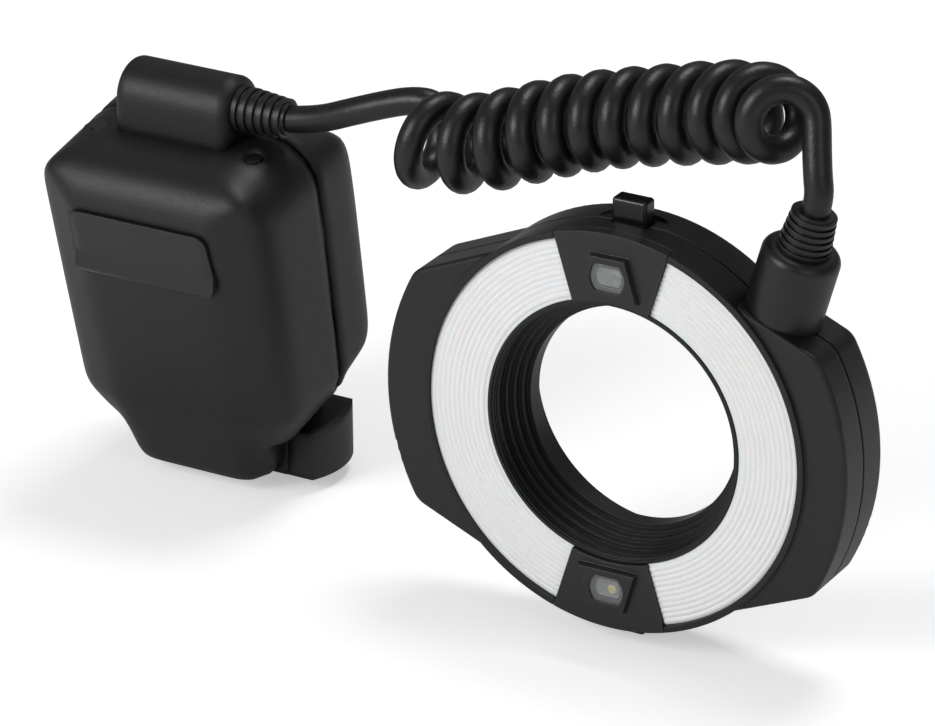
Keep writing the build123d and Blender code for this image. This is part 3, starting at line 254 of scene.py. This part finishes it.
@dataclass(frozen=True)
class SharedEffect:
    """Node group with one number as its input and two as its outputs."""

    name: str
    entry: str
    usual: float
    results: tuple[str, str]

    def build(self) -> bpy.types.NodeTree:
        """Build the group.

        Returns:
            The group.
        """
        group = bpy.data.node_groups.new(self.name, "ShaderNodeTree")
        entry = group.interface.new_socket(self.entry, in_out="INPUT", socket_type="NodeSocketFloat")
        entry.default_value = self.usual
        for result in self.results:
            group.interface.new_socket(result, in_out="OUTPUT", socket_type="NodeSocketFloat")
        tree = NodeTree(group)
        given = tree.add("NodeGroupInput").outputs[0]
        place = tree.add("ShaderNodeTexCoord").outputs["Object"]
        tree.add("NodeGroupOutput", dict(zip(self.results, self.wire(tree, given, place))))
        return group

    def wire(self, tree: NodeTree, given: Socket, place: Socket) -> tuple[Socket, Socket]:
        """Add the nodes of the effect, which each effect does in its own way.

        Args:
            tree: the group's tree.
            given: the number that the group is given.
            place: the place on the object.

        Returns:
            The two results.
        """
        raise NotImplementedError


@dataclass(frozen=True)
class Grain(SharedEffect):
    """Fine moulded grain: a height for a relief, and a mask for the sheen."""

    name: str = "moulded_grain"
    entry: str = "Grains per metre"
    usual: float = 2500.0
    results: tuple[str, str] = ("Height", "Mask")
    smoothness: float = 0.6
    cloud_scale: float = 0.35
    cloud_height: float = 0.8
    cloud_detail: float = 3.0
    cloud_roughness: float = 0.6

    def wire(self, tree: NodeTree, given: Socket, place: Socket) -> tuple[Socket, Socket]:
        """Add rounded cells on larger clouds.

        Args:
            tree: the group's tree.
            given: grains per metre.
            place: the place on the object.

        Returns:
            The height and the mask.
        """
        cells = tree.add(
            "ShaderNodeTexVoronoi",
            {"Vector": place, "Scale": given, "Smoothness": self.smoothness},
            feature="SMOOTH_F1",
        )
        clouds = tree.add(
            "ShaderNodeTexNoise",
            {
                "Vector": place,
                "Scale": tree.maths("MULTIPLY", given, self.cloud_scale),
                "Detail": self.cloud_detail,
                "Roughness": self.cloud_roughness,
            },
        )
        raised = tree.maths("MULTIPLY", clouds.outputs["Fac"], self.cloud_height)
        return tree.maths("ADD", cells.outputs["Distance"], raised), clouds.outputs["Fac"]


@dataclass(frozen=True)
class WearAndEdgeHighlight(SharedEffect):
    """Edges, which finishes lighten partly as wear and partly as a painted highlight, and large soft
    patches from dust and handling.
    """

    name: str = "wear_and_edge_highlight"
    entry: str = "Edge width"
    usual: float = 0.0004
    results: tuple[str, str] = ("Edge", "Patches")
    edge_full_at: float = 0.25
    patch_scale: float = 45.0
    patch_detail: float = 4.0

    def wire(self, tree: NodeTree, given: Socket, place: Socket) -> tuple[Socket, Socket]:
        """Find edges, where a rounded normal turns away from the plain one, and add patches.

        Args:
            tree: the group's tree.
            given: width of the edges that carry the wear and the painted highlight.
            place: the place on the object.

        Returns:
            The edges and the patches.
        """
        rounded = tree.add("ShaderNodeBevel", {"Radius": given}, samples=BEVEL_SAMPLES)
        plain = tree.add("ShaderNodeNewGeometry")
        alike = tree.add(
            "ShaderNodeVectorMath",
            {0: rounded.outputs["Normal"], 1: plain.outputs["Normal"]},
            operation="DOT_PRODUCT",
        )
        apart = tree.maths("SUBTRACT", 1.0, alike.outputs["Value"])
        edges = tree.add("ShaderNodeMapRange", {"Value": apart, "From Max": self.edge_full_at})
        patches = tree.add(
            "ShaderNodeTexNoise",
            {"Vector": place, "Scale": self.patch_scale, "Detail": self.patch_detail},
        )
        return edges.outputs["Result"], patches.outputs["Fac"]


class ShaderGroups:
    """Effects that several finishes share, each built once."""

    def __init__(self) -> None:
        """Build the groups."""
        self.grain = Grain().build()
        self.wear_and_highlight = WearAndEdgeHighlight().build()


class Finish:
    """What all finishes have in common."""

    def build(self, name: str, groups: ShaderGroups) -> bpy.types.Material:
        """Build the material.

        Args:
            name: the material's name.
            groups: the shared effects.

        Returns:
            The material.
        """
        material = bpy.data.materials.new(name)
        material.use_nodes = True
        tree = NodeTree(material.node_tree)
        tree.feed(material.node_tree.nodes["Principled BSDF"], self.wire(tree, groups))
        return material

    def wire(self, tree: NodeTree, groups: ShaderGroups) -> Inputs:
        """Add the nodes of the finish, which each kind of finish does in its own way.

        Args:
            tree: the material's tree.
            groups: the shared effects.

        Returns:
            Values or outputs for the shader's inputs.
        """
        raise NotImplementedError


@dataclass(frozen=True)
class MouldedFinish(Finish):
    """Moulded plastic or rubber with grain, edges lightened partly as wear and partly as a painted
    highlight, and uneven sheen.
    """

    tone: Triple
    roughness: float
    grain: float = 2500.0
    grain_depth: float = 0.00003
    # Lift of the edges' colour: partly wear, partly a painted highlight where it is large.
    edge_wear_and_highlight_lift: float = 0.04
    edge_share: float = 0.6
    edge_round: float = 0.0003
    specular: float = 0.5
    patchiness: float = 0.12
    sheen_spread: float = 0.16

    def wire(self, tree: NodeTree, groups: ShaderGroups) -> Inputs:
        """Add the nodes of the finish.

        Args:
            tree: the material's tree.
            groups: the shared effects.

        Returns:
            Values or outputs for the shader's inputs.
        """
        grain = tree.add("ShaderNodeGroup", {0: self.grain}, node_tree=groups.grain)
        wear_and_highlight = tree.add("ShaderNodeGroup", {0: self.edge_round}, node_tree=groups.wear_and_highlight)
        darker = opaque(self.tone, gain=1.0 - self.patchiness)
        lighter = opaque(self.tone, gain=1.0 + self.patchiness)
        base = tree.mix(wear_and_highlight.outputs["Patches"], darker, lighter)
        edges = tree.maths("MULTIPLY", wear_and_highlight.outputs["Edge"], self.edge_share)
        least = self.roughness - self.sheen_spread / 2
        return {
            # Edges lightened: partly wear, partly a painted highlight.
            "Base Color": tree.mix(edges, base, opaque(self.tone, lift=self.edge_wear_and_highlight_lift)),
            "Roughness": tree.maths("MULTIPLY_ADD", grain.outputs["Mask"], self.sheen_spread, least),
            "Specular IOR Level": self.specular,
            "Normal": tree.relief(grain.outputs["Height"], self.grain_depth, self.edge_round),
        }


@dataclass(frozen=True)
class MetalFinish(Finish):
    """Brushed or drawn metal with fine lines."""

    tone: Triple
    roughness: float
    lines: float = 900.0
    line_detail: float = 2.0
    line_depth: float = 0.000004
    stretch: Triple = (0.05, 1.0, 1.0)
    edge_round: float = 0.00015
    patch_share: float = 0.3
    sheen_spread: float = 0.25
    sheen_below: float = 0.1

    def wire(self, tree: NodeTree, groups: ShaderGroups) -> Inputs:
        """Add the nodes of the finish.

        Args:
            tree: the material's tree.
            groups: the shared effects.

        Returns:
            Values or outputs for the shader's inputs.
        """
        place = tree.add("ShaderNodeTexCoord").outputs["Object"]
        mapping = tree.add("ShaderNodeMapping", {"Vector": place, "Scale": self.stretch})
        lines = tree.add(
            "ShaderNodeTexNoise",
            {"Vector": mapping.outputs["Vector"], "Scale": self.lines, "Detail": self.line_detail},
        ).outputs["Fac"]
        wear_and_highlight = tree.add("ShaderNodeGroup", node_tree=groups.wear_and_highlight)
        patches = tree.maths("MULTIPLY", wear_and_highlight.outputs["Patches"], self.patch_share)
        height = tree.maths("ADD", lines, patches)
        least = self.roughness - self.sheen_below
        return {
            "Metallic": 1.0,
            "Base Color": opaque(self.tone),
            "Roughness": tree.maths("MULTIPLY_ADD", lines, self.sheen_spread, least),
            "Normal": tree.relief(height, self.line_depth, self.edge_round),
        }


@dataclass(frozen=True)
class GlassFinish(Finish):
    """Clear or smoked window, faintly uneven."""

    tone: Triple
    roughness: float
    see_through: float
    waves: float = 500.0
    wave_depth: float = 0.00001
    sheen_spread: float = 0.05

    def wire(self, tree: NodeTree, groups: ShaderGroups) -> Inputs:
        """Add the nodes of the finish.

        Args:
            tree: the material's tree.
            groups: the shared effects.

        Returns:
            Values or outputs for the shader's inputs.
        """
        grain = tree.add("ShaderNodeGroup", {0: self.waves}, node_tree=groups.grain)
        mask = grain.outputs["Mask"]
        return {
            "Transmission Weight": self.see_through,
            "Base Color": opaque(self.tone),
            "Roughness": tree.maths("MULTIPLY_ADD", mask, self.sheen_spread, self.roughness),
            "Normal": tree.relief(grain.outputs["Height"], self.wave_depth),
        }


@dataclass(frozen=True)
class MilkyFinish(Finish):
    """Milky white plastic of the diffusers, whose rings are in the mesh."""

    tone: Triple = (0.97, 0.97, 0.97)
    shade: Triple = (0.93, 0.93, 0.935)
    roughness: float = 0.26
    grain: float = 700.0
    sheen_spread: float = 0.12
    glow_share: float = 0.25
    glow_reach: float = 0.0015

    def wire(self, tree: NodeTree, groups: ShaderGroups) -> Inputs:
        """Add the nodes of the finish.

        Args:
            tree: the material's tree.
            groups: the shared effects.

        Returns:
            Values or outputs for the shader's inputs.
        """
        wear_and_highlight = tree.add("ShaderNodeGroup", node_tree=groups.wear_and_highlight)
        grain = tree.add("ShaderNodeGroup", {0: self.grain}, node_tree=groups.grain)
        mask = grain.outputs["Mask"]
        return {
            "Subsurface Weight": self.glow_share,
            "Subsurface Scale": self.glow_reach,
            "Base Color": tree.mix(wear_and_highlight.outputs["Patches"], opaque(self.shade), opaque(self.tone)),
            "Roughness": tree.maths("MULTIPLY_ADD", mask, self.sheen_spread, self.roughness),
        }


@dataclass(frozen=True)
class PaperFinish(Finish):
    """Pale floor that shows white to the camera and keeps the object's shadow."""

    tone: Triple = (0.88, 0.88, 0.88)
    roughness: float = 0.9
    specular: float = 0.1
    glow: float = 0.44

    def wire(self, tree: NodeTree, groups: ShaderGroups) -> Inputs:
        """Add the nodes of the finish.

        Args:
            tree: the material's tree.
            groups: the shared effects, which plain paper doesn't use.

        Returns:
            Values or outputs for the shader's inputs.
        """
        return {
            "Base Color": opaque(self.tone),
            "Roughness": self.roughness,
            "Specular IOR Level": self.specular,
            "Emission Color": opaque(WHITE),
            "Emission Strength": tree.maths("MULTIPLY", tree.seen(), self.glow),
        }


FINISHES: dict[Surface, Finish] = {
    Surface.CASE: MouldedFinish((0.0062, 0.0062, 0.0070), 0.46, edge_round=0.0035, edge_wear_and_highlight_lift=0.004),
    # The face plate's large edge lift paints a bright highlight line along its edges, also on the sector
    # covers.
    Surface.PLATE: MouldedFinish(
        (0.0135, 0.0135, 0.0143), 0.36, grain=5200.0, grain_depth=0.00001, edge_wear_and_highlight_lift=0.07
    ),
    Surface.HEAD: MouldedFinish(
        (0.0068, 0.0068, 0.0074), 0.4, grain=3000.0, grain_depth=0.00002, edge_round=0.0008, edge_wear_and_highlight_lift=0.006
    ),
    Surface.BORE: MouldedFinish((0.004, 0.004, 0.004), 0.4, grain_depth=0.00001, edge_wear_and_highlight_lift=0.01),
    Surface.BUTTON: MouldedFinish((0.006, 0.006, 0.0065), 0.26, grain_depth=0.00001),
    Surface.CONTROL: MouldedFinish((0.04, 0.04, 0.043), 0.42),
    Surface.RELIEF: MouldedFinish((0.008, 0.008, 0.0085), 0.42, grain=1800.0),
    Surface.CORD: MouldedFinish((0.0068, 0.0068, 0.0078), 0.4, grain=900.0, grain_depth=0.00004),
    Surface.DIFFUSER: MilkyFinish(),
    Surface.REFLECTOR: MetalFinish((0.82, 0.82, 0.83), 0.2),
    Surface.TUBE: GlassFinish((0.95, 0.95, 0.96), 0.05, 0.95),
    Surface.WINDOW: GlassFinish((0.80, 0.82, 0.84), 0.08, 0.85),
    Surface.LAMP: MouldedFinish((0.55, 0.56, 0.54), 0.3, grain_depth=0.00001),
    Surface.DISPLAY_GLASS: GlassFinish((0.75, 0.78, 0.76), 0.05, 0.9),
    Surface.DISPLAY: MouldedFinish((0.22, 0.26, 0.19), 0.3, grain_depth=0.000005),
    Surface.BOARD: MouldedFinish((0.02, 0.12, 0.04), 0.4),
    Surface.INNER: MouldedFinish((0.012, 0.012, 0.012), 0.5),
    Surface.CELL: MouldedFinish((0.3, 0.3, 0.32), 0.25, grain_depth=0.000005),
    Surface.CAN: MouldedFinish((0.05, 0.06, 0.12), 0.3, grain_depth=0.000005),
    Surface.CONTACT: MetalFinish((0.8, 0.62, 0.3), 0.25),
    Surface.SCREW: MetalFinish((0.10, 0.10, 0.11), 0.35),
    Surface.SPRING: MetalFinish((0.5, 0.5, 0.52), 0.3),
    Surface.SHOE: MetalFinish((0.55, 0.55, 0.56), 0.3),
    Surface.CORE: MouldedFinish((0.16, 0.15, 0.14), 0.5),
    Surface.CHIP: MouldedFinish((0.86, 0.74, 0.30), 0.3, grain_depth=0.000005),
    Surface.FLOOR: PaperFinish(),
}


class Paint:
    """All finished materials, by kind."""

    def __init__(self) -> None:
        """Build every material once."""
        groups = ShaderGroups()
        self.materials = {kind: finish.build(kind.value, groups) for kind, finish in FINISHES.items()}

    def coat(self, piece: bpy.types.Object, kind: Surface) -> None:
        """Give a piece one material.

        Args:
            piece: the object.
            kind: its finish.
        """
        piece.data.materials.clear()
        piece.data.materials.append(self.materials[kind])


def put_in_scene(name: str, data: bpy.types.ID) -> bpy.types.Object:
    """Make an object of a mesh, a curve, a lamp's or a camera's data.

    Args:
        name: the object's name.
        data: what it shows.

    Returns:
        The object, in the scene.
    """
    thing = bpy.data.objects.new(name, data)
    bpy.context.scene.collection.objects.link(thing)
    return thing


def smooth_piece(name: str, work: bmesh.types.BMesh) -> bpy.types.Object:
    """Turn an edited mesh into a smooth piece, with its faces outwards.

    Args:
        name: the piece's name.
        work: the edited mesh, which is used up.

    Returns:
        The piece, with its place in its mesh.
    """
    mesh = bpy.data.meshes.new(name)
    bmesh.ops.recalc_face_normals(work, faces=work.faces)
    work.to_mesh(mesh)
    work.free()
    mesh.shade_smooth()
    return put_in_scene(name, mesh)


class Workshop:
    """Turns objects into pieces of the flash."""

    def __init__(self, paint: Paint, frame: dict) -> None:
        """Keep what every piece needs.

        Args:
            paint: the materials.
            frame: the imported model.
        """
        self.paint = paint
        self.frame = frame
        self.layout = Layout.read(frame)

    def install(self, piece: bpy.types.Object, kind: Surface, *replaced: str) -> None:
        """Finish a piece and tie it to the flash's body.

        Args:
            piece: the object, with its place in its mesh.
            kind: its finish.
            replaced: the CAD nodes that it stands for.
        """
        self.paint.coat(piece, kind)
        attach(piece, BODY)
        if replaced:
            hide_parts(*replaced)
        LOG.info("%s: %s on %s", piece.name, kind.value, BODY)


@dataclass(frozen=True)
class Diffusers:
    """Two white covers of the light, each with fine concentric rings and sawn ends."""

    inner: float = 0.03525
    outer: float = 0.05165
    thickness: float = 0.0022
    rings: int = 11
    ring_depth: float = 0.00026
    ring_shape: tuple[tuple[float, float], ...] = ((0.0, 1.0), (0.2, 0.25), (0.5, 0.0), (0.8, 0.25))
    rim: float = 0.0002
    lip: float = 0.0009
    lip_depth: float = 0.00035
    lip_slope: float = 0.0001
    end_gap_deg: float = 17.4
    crease_deg: float = 35.0
    steps: int = 168

    def profile(self) -> list[tuple[float, float]]:
        """Radius and depth of each line of a cover, from its inner edge round to its back.

        Returns:
            A pair for each line. A ring's points are shares of the pitch and of the ring's depth.
        """
        start = self.inner + self.lip
        pitch = (self.outer - self.rim - start) / self.rings
        points = [
            (self.inner, self.thickness),
            (self.inner, self.lip_depth),
            (start - self.lip_slope, self.lip_depth),
        ]
        for ring in range(self.rings):
            low = start + ring * pitch
            points += [(low + pitch * across, self.ring_depth * down) for across, down in self.ring_shape]
        return points + [(self.outer, self.ring_depth), (self.outer, self.thickness)]

    def cover(self, ring: Matrix, name: str, middle_deg: float) -> bpy.types.Object:
        """Make one cover.

        Args:
            ring: place of the ring's centre.
            name: the piece's name.
            middle_deg: direction of its middle, anticlockwise from +X seen from the front.

        Returns:
            The piece, with its place in its mesh.
        """
        half = math.radians(90.0 - self.end_gap_deg)
        first = math.radians(middle_deg) - half
        points = self.profile()
        work = bmesh.new()
        rows = []
        for step in range(self.steps + 1):
            angle = first + 2.0 * half * step / self.steps
            places = [Vector((r * math.cos(angle), depth, r * math.sin(angle))) for r, depth in points]
            rows.append([work.verts.new(ring @ place) for place in places])
        for near, far in zip(rows, rows[1:]):
            for index in range(len(points)):
                after = (index + 1) % len(points)
                work.faces.new((near[index], near[after], far[after], far[index]))
        work.faces.new(rows[0])
        work.faces.new(list(reversed(rows[-1])))
        piece = smooth_piece(name, work)
        piece.data.set_sharp_from_angle(angle=math.radians(self.crease_deg))
        return piece

    def build(self, shop: Workshop) -> None:
        """Make both covers.

        Args:
            shop: the workshop.
        """
        for side, middle_deg in (("right", 0.0), ("left", 180.0)):
            cover = self.cover(shop.layout.ring(), f"ribbed_cover_{side}", middle_deg)
            shop.install(cover, Surface.DIFFUSER, f"diffuser_{side}")


@dataclass(frozen=True)
class Zone:
    """Box in the leaning case's own frame."""

    low: Triple
    high: Triple

    def holds(self, place: Vector) -> bool:
        """Say whether a point lies in the box."""
        return all(a <= value <= b for a, value, b in zip(self.low, place, self.high))


@dataclass(frozen=True)
class Half:
    """One half of the case: where its corners are rounded, and how much."""

    node: str
    room: Zone
    kept: tuple[Zone, ...]
    passes: int

    def rounds(self, place: Vector) -> bool:
        """Say whether a point of the case's frame is one that the rounding moves."""
        return self.room.holds(place) and not any(zone.holds(place) for zone in self.kept)


# Parts of the case that stay crisp, where other pieces are seated.
FACE_PLATE_SEAT = Zone((-0.0240, -0.020, 0.0080), (0.0240, 0.004, 0.0320))
LEFT_SCREW_SEAT = Zone((-0.0285, 0.0090, 0.0300), (-0.0190, 0.0185, 0.045))
RIGHT_SCREW_SEAT = Zone((0.0190, 0.0090, 0.0300), (0.0285, 0.0185, 0.045))
CABLE_HOUSING_SEAT = Zone((-0.0195, 0.0040, 0.0340), (0.0205, 0.0300, 0.045))
FOOT_SEAT = Zone((-0.030, 0.0040, -0.060), (0.030, 0.0300, -0.0360))
BATTERY_DOOR_SEAT = Zone((-0.040, 0.0080, -0.0250), (-0.0290, 0.0300, 0.0300))
REAR_PANEL_SEAT = Zone((-0.0275, 0.0450, -0.0320), (0.0265, 0.0520, 0.0265))


@dataclass(frozen=True)
class RoundedShells:
    """The two halves of the case with the soft corners that the moulded case has."""

    merge_distance: float = 0.000002
    grid: float = 0.0007
    first_passes: int = 2
    halves: tuple[Half, ...] = (
        Half(
            node="front_shell",
            room=Zone((-0.040, -0.020, -0.060), (0.040, 0.0215, 0.045)),
            kept=(
                FACE_PLATE_SEAT,
                LEFT_SCREW_SEAT,
                RIGHT_SCREW_SEAT,
                CABLE_HOUSING_SEAT,
                FOOT_SEAT,
                BATTERY_DOOR_SEAT,
            ),
            passes=46,
        ),
        Half(
            node="rear_shell",
            room=Zone((-0.0270, 0.0275, -0.0420), (0.040, 0.0520, 0.045)),
            kept=(CABLE_HOUSING_SEAT, REAR_PANEL_SEAT),
            passes=110,
        ),
    )

    def even_copy(self, mesh: bpy.types.Mesh) -> bmesh.types.BMesh:
        """Copy a mesh onto an even grid.

        Args:
            mesh: the CAD node's mesh, which isn't changed.

        Returns:
            The copy, ready for edits.
        """
        joined = mesh.copy()
        work = bmesh.new()
        work.from_mesh(joined)
        bmesh.ops.remove_doubles(work, verts=work.verts, dist=self.merge_distance)
        work.to_mesh(joined)
        work.free()
        rough = put_in_scene("rough_shell", joined)
        remesh = rough.modifiers.new("even", "REMESH")
        remesh.mode = "VOXEL"
        remesh.voxel_size = self.grid
        even = bmesh.new()
        even.from_object(rough, bpy.context.evaluated_depsgraph_get())
        bpy.data.objects.remove(rough)
        bpy.data.meshes.remove(joined)
        return even

    def skin(self, shop: Workshop, half: Half) -> bpy.types.Object:
        """Evenly meshed copy of one half, with its corners rounded.

        Args:
            shop: the workshop.
            half: which half, and where it is rounded.

        Returns:
            The copy, with its place in its mesh.
        """
        work = self.even_copy(shop.frame["nodes"][half.node].data)
        for _ in range(self.first_passes):
            self.relax(work, list(work.verts))
        inward = shop.layout.unit().inverted()
        chosen = [vert for vert in work.verts if half.rounds(inward @ vert.co)]
        for _ in range(half.passes):
            self.relax(work, chosen)
        return smooth_piece(f"{half.node}_skin", work)

    @staticmethod
    def relax(work: bmesh.types.BMesh, verts: list) -> None:
        """Move each vertex half way to the middle of its neighbours."""
        axes = {"use_axis_x": True, "use_axis_y": True, "use_axis_z": True}
        bmesh.ops.smooth_vert(work, verts=verts, factor=0.5, **axes)

    def build(self, shop: Workshop) -> None:
        """Make both halves.

        Args:
            shop: the workshop.
        """
        for half in self.halves:
            shop.install(self.skin(shop, half), Surface.CASE, half.node)


@dataclass(frozen=True)
class LampChip:
    """Small pale yellow dome that shows behind the bottom lamp's window."""

    radius: float = 0.0013
    height: float = 0.0005
    depth: float = -0.0007
    from_centre: float = 0.0423
    aside: float = 0.0012
    rows: int = 6
    steps: int = 24

    def dome(self, ring: Matrix, name: str) -> bpy.types.Object:
        """Make the dome, as a flattened ball.

        Args:
            ring: place of the ring's centre.
            name: the piece's name.

        Returns:
            The piece, with its place in its mesh.
        """
        work = bmesh.new()
        bmesh.ops.create_uvsphere(work, u_segments=self.steps, v_segments=self.rows, radius=1.0)
        place = Vector((self.aside, self.depth, -self.from_centre))
        size = Vector((self.radius, self.height, self.radius))
        for vert in work.verts:
            vert.co = ring @ (place + vert.co * size)
        return smooth_piece(name, work)

    def build(self, shop: Workshop) -> None:
        """Make the dome of the bottom lamp, the only one that shows.

        Args:
            shop: the workshop.
        """
        shop.install(self.dome(shop.layout.ring(), "lamp_chip_bottom"), Surface.CHIP)


def bernstein(order: int, share: float) -> list[float]:
    """Weights of a Bezier curve's points, at a share of the way along it."""
    return [math.comb(order, k) * (1 - share) ** (order - k) * share**k for k in range(order + 1)]


def blend(weights: list[float], rows: Iterable[Iterable[float]]) -> list[float]:
    """Weighted sum of rows of numbers, column by column."""
    return [sum(weight * value for weight, value in zip(weights, column)) for column in zip(*rows)]


@dataclass(frozen=True)
class CurlyCord:
    """The cord: a plain stretch, a curved coil of twelve turns and a plain stretch to the head.

    The coil's middle line is a Bezier curve. Its points, in millimetres, have the coil's radius as their
    fourth number. The two runs are in millimetres too.
    """

    diameter: float = 0.0072
    length: float = 0.7589
    turns: int = 12
    points_per_turn: int = 16
    curve_order: int = 3
    curve_steps: int = 5
    round_steps: int = 7
    line: tuple[tuple[float, float, float, float], ...] = (
        (-14.0, -11.3, 116.0, 10.0),
        (19.0, -19.8, 113.5, 7.0),
        (34.0, -8.3, 140.5, 12.5),
        (46.0, -14.8, 124.5, 4.5),
        (79.0, -3.3, 143.0, 13.0),
        (98.0, -25.3, 145.5, 7.0),
    )
    unit_run: tuple[Triple, ...] = (
        (-54.73, -4.5, 109.6),
        (-46.73, -4.5, 110.9),
        (-36.04, -4.79, 115.4),
        (-27.13, -3.72, 118.66),
        (-20.3, -2.9, 120.8),
        (-14.2, -2.2, 121.4),
        (-11.6, -1.7, 118.6),
    )
    head_run: tuple[Triple, ...] = (
        (104.87, -23.14, 138.9),
        (106.18, -25.14, 133.4),
        (107.27, -26.0, 128.44),
        (106.17, -26.0, 124.59),
    )

    def coil_point(self, share: float) -> Vector:
        """Point that guides the coil's curve.

        The curve passes through the middles between its points, so they stand out a little from the coil.

        Args:
            share: share of the turns, from 0 at the control unit to 1 at the head.

        Returns:
            The point.
        """
        order = len(self.line) - 1
        steps = [[b - a for a, b in zip(near, far)] for near, far in zip(self.line, self.line[1:])]
        *middle, radius = blend(bernstein(order, share), self.line)
        radius /= math.cos(math.pi / self.points_per_turn)
        along = Vector(blend(bernstein(order - 1, share), steps)[:3]).normalized()
        upward = (Vector((0, 0, 1)) - along * along.z).normalized()
        backward = upward.cross(along)
        turn = math.pi / 2 + 2 * math.pi * self.turns * share
        return (Vector(middle) + (upward * math.cos(turn) + backward * math.sin(turn)) * radius) * MM

    def route(self) -> list[Vector]:
        """Points of the whole cord from the control unit to the head."""
        count = self.turns * self.points_per_turn
        start = [Vector(point) * MM for point in self.unit_run]
        coil = [self.coil_point(i / count) for i in range(count + 1)]
        end = [Vector(point) * MM for point in self.head_run]
        return start + coil + end

    def build(self, shop: Workshop) -> None:
        """Args:
            shop: the workshop.
        """
        curve = bpy.data.curves.new("curly_cord", "CURVE")
        curve.dimensions = "3D"
        spline = curve.splines.new("NURBS")
        points = self.route()
        spline.points.add(len(points) - 1)
        for target, point in zip(spline.points, points):
            target.co = (*point, 1.0)
        spline.order_u = self.curve_order
        spline.use_endpoint_u = True
        curve.resolution_u = self.curve_steps
        curve.bevel_depth = self.diameter / 2
        curve.bevel_resolution = self.round_steps
        cord = put_in_scene("curly_cord", curve)
        shop.install(cord, Surface.CORD, "cord_lead_unit", "cord_coil", "cord_lead_head")


@dataclass(frozen=True)
class CarriedOver:
    """CAD nodes that show as they are, with the finish of their slot or one of their own."""

    own_finish: tuple[tuple[str, Surface], ...] = (
        ("sector_cover_top", Surface.PLATE),
        ("sector_cover_bottom", Surface.PLATE),
    )

    def build(self, shop: Workshop) -> None:
        """Coat the nodes.

        Args:
            shop: the workshop.
        """
        rows = shop.frame["record"]["subparts"]
        finishes = {row["node"]: Surface(row["material_slot"]) for row in rows}
        finishes.update(self.own_finish)
        for node, kind in finishes.items():
            shop.paint.coat(shop.frame["nodes"][node], kind)


@dataclass(frozen=True)
class Lamp:
    """Square soft lamp, with the length of its side and its power in watts."""

    name: str
    place: Triple
    side: float
    power: float


@dataclass(frozen=True)
class Studio:
    """Pale floor, soft lamps and the camera at the photograph's place."""

    camera_place: Triple = (0.6275, -1.0863, 0.6191)
    azimuth_deg: float = 30.229
    elevation_deg: float = 24.357
    roll_deg: float = -0.473
    lens_mm: float = 206.0
    sensor_mm: float = 36.0
    view_depth: float = 20.0
    floor_size: float = 6.0
    lamp_aim: Triple = (0.0, 0.0, 0.06)
    lamps: tuple[Lamp, ...] = (
        Lamp("key", (-0.75, -1.5, 0.95), 0.9, 19.0),
        Lamp("fill", (1.5, -0.9, 0.9), 0.8, 3.0),
        Lamp("top", (0.15, 0.6, 2.0), 0.8, 15.0),
    )
    world_light: float = 0.17
    world_seen: float = 1.0

    def camera(self) -> None:
        """Place the camera."""
        around = math.radians(self.azimuth_deg)
        above = math.radians(self.elevation_deg)
        turn = math.radians(self.roll_deg)
        flat = math.cos(above)
        back = Vector((math.sin(around) * flat, -math.cos(around) * flat, math.sin(above)))
        right = Vector((math.cos(around), math.sin(around), 0.0))
        up = back.cross(right)
        side = right * math.cos(turn) + up * math.sin(turn)
        top = up * math.cos(turn) - right * math.sin(turn)
        data = bpy.data.cameras.new("camera")
        data.lens = self.lens_mm
        data.sensor_width = self.sensor_mm
        data.clip_end = self.view_depth
        camera = put_in_scene("camera", data)
        facing = Matrix((side, top, back)).transposed().to_4x4()
        camera.matrix_world = Matrix.Translation(self.camera_place) @ facing
        bpy.context.scene.camera = camera

    def floor(self, paint: Paint) -> None:
        """Lay the floor.

        Args:
            paint: the materials.
        """
        mesh = bpy.data.meshes.new("floor")
        work = bmesh.new()
        bmesh.ops.create_grid(work, x_segments=1, y_segments=1, size=self.floor_size / 2)
        work.to_mesh(mesh)
        work.free()
        floor = put_in_scene("floor", mesh)
        paint.coat(floor, Surface.FLOOR)

    def lights(self) -> None:
        """Hang the soft lamps."""
        for lamp in self.lamps:
            data = bpy.data.lights.new(lamp.name, "AREA")
            data.shape = "SQUARE"
            data.size = lamp.side
            data.energy = lamp.power
            light = put_in_scene(lamp.name, data)
            light.location = lamp.place
            away = Vector(lamp.place) - Vector(self.lamp_aim)
            light.rotation_euler = away.to_track_quat("Z", "Y").to_euler()

    def world(self) -> None:
        """Set a world that is dim as a light and white to the camera."""
        world = bpy.data.worlds.new("studio")
        bpy.context.scene.world = world
        world.use_nodes = True
        tree = NodeTree(world.node_tree)
        strength = tree.add(
            "ShaderNodeMapRange",
            {"Value": tree.seen(), "To Min": self.world_light, "To Max": self.world_seen},
        )
        background = world.node_tree.nodes["Background"]
        tree.feed(background, {"Color": opaque(WHITE), "Strength": strength.outputs["Result"]})

    def build(self, paint: Paint) -> None:
        """Set up camera, floor and light.

        Args:
            paint: the materials.
        """
        self.camera()
        self.floor(paint)
        self.lights()
        self.world()
        bpy.context.scene.view_settings.view_transform = "Standard"


def main() -> None:
    """Build the pieces in order and report them."""
    logging.basicConfig(level=logging.INFO, format="%(message)s")
    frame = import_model()
    shop = Workshop(Paint(), frame)
    Studio().build(shop.paint)
    CarriedOver().build(shop)
    for group in (CurlyCord(), Diffusers(), RoundedShells(), LampChip()):
        group.build(shop)


if __name__ == "__main__":
    main()
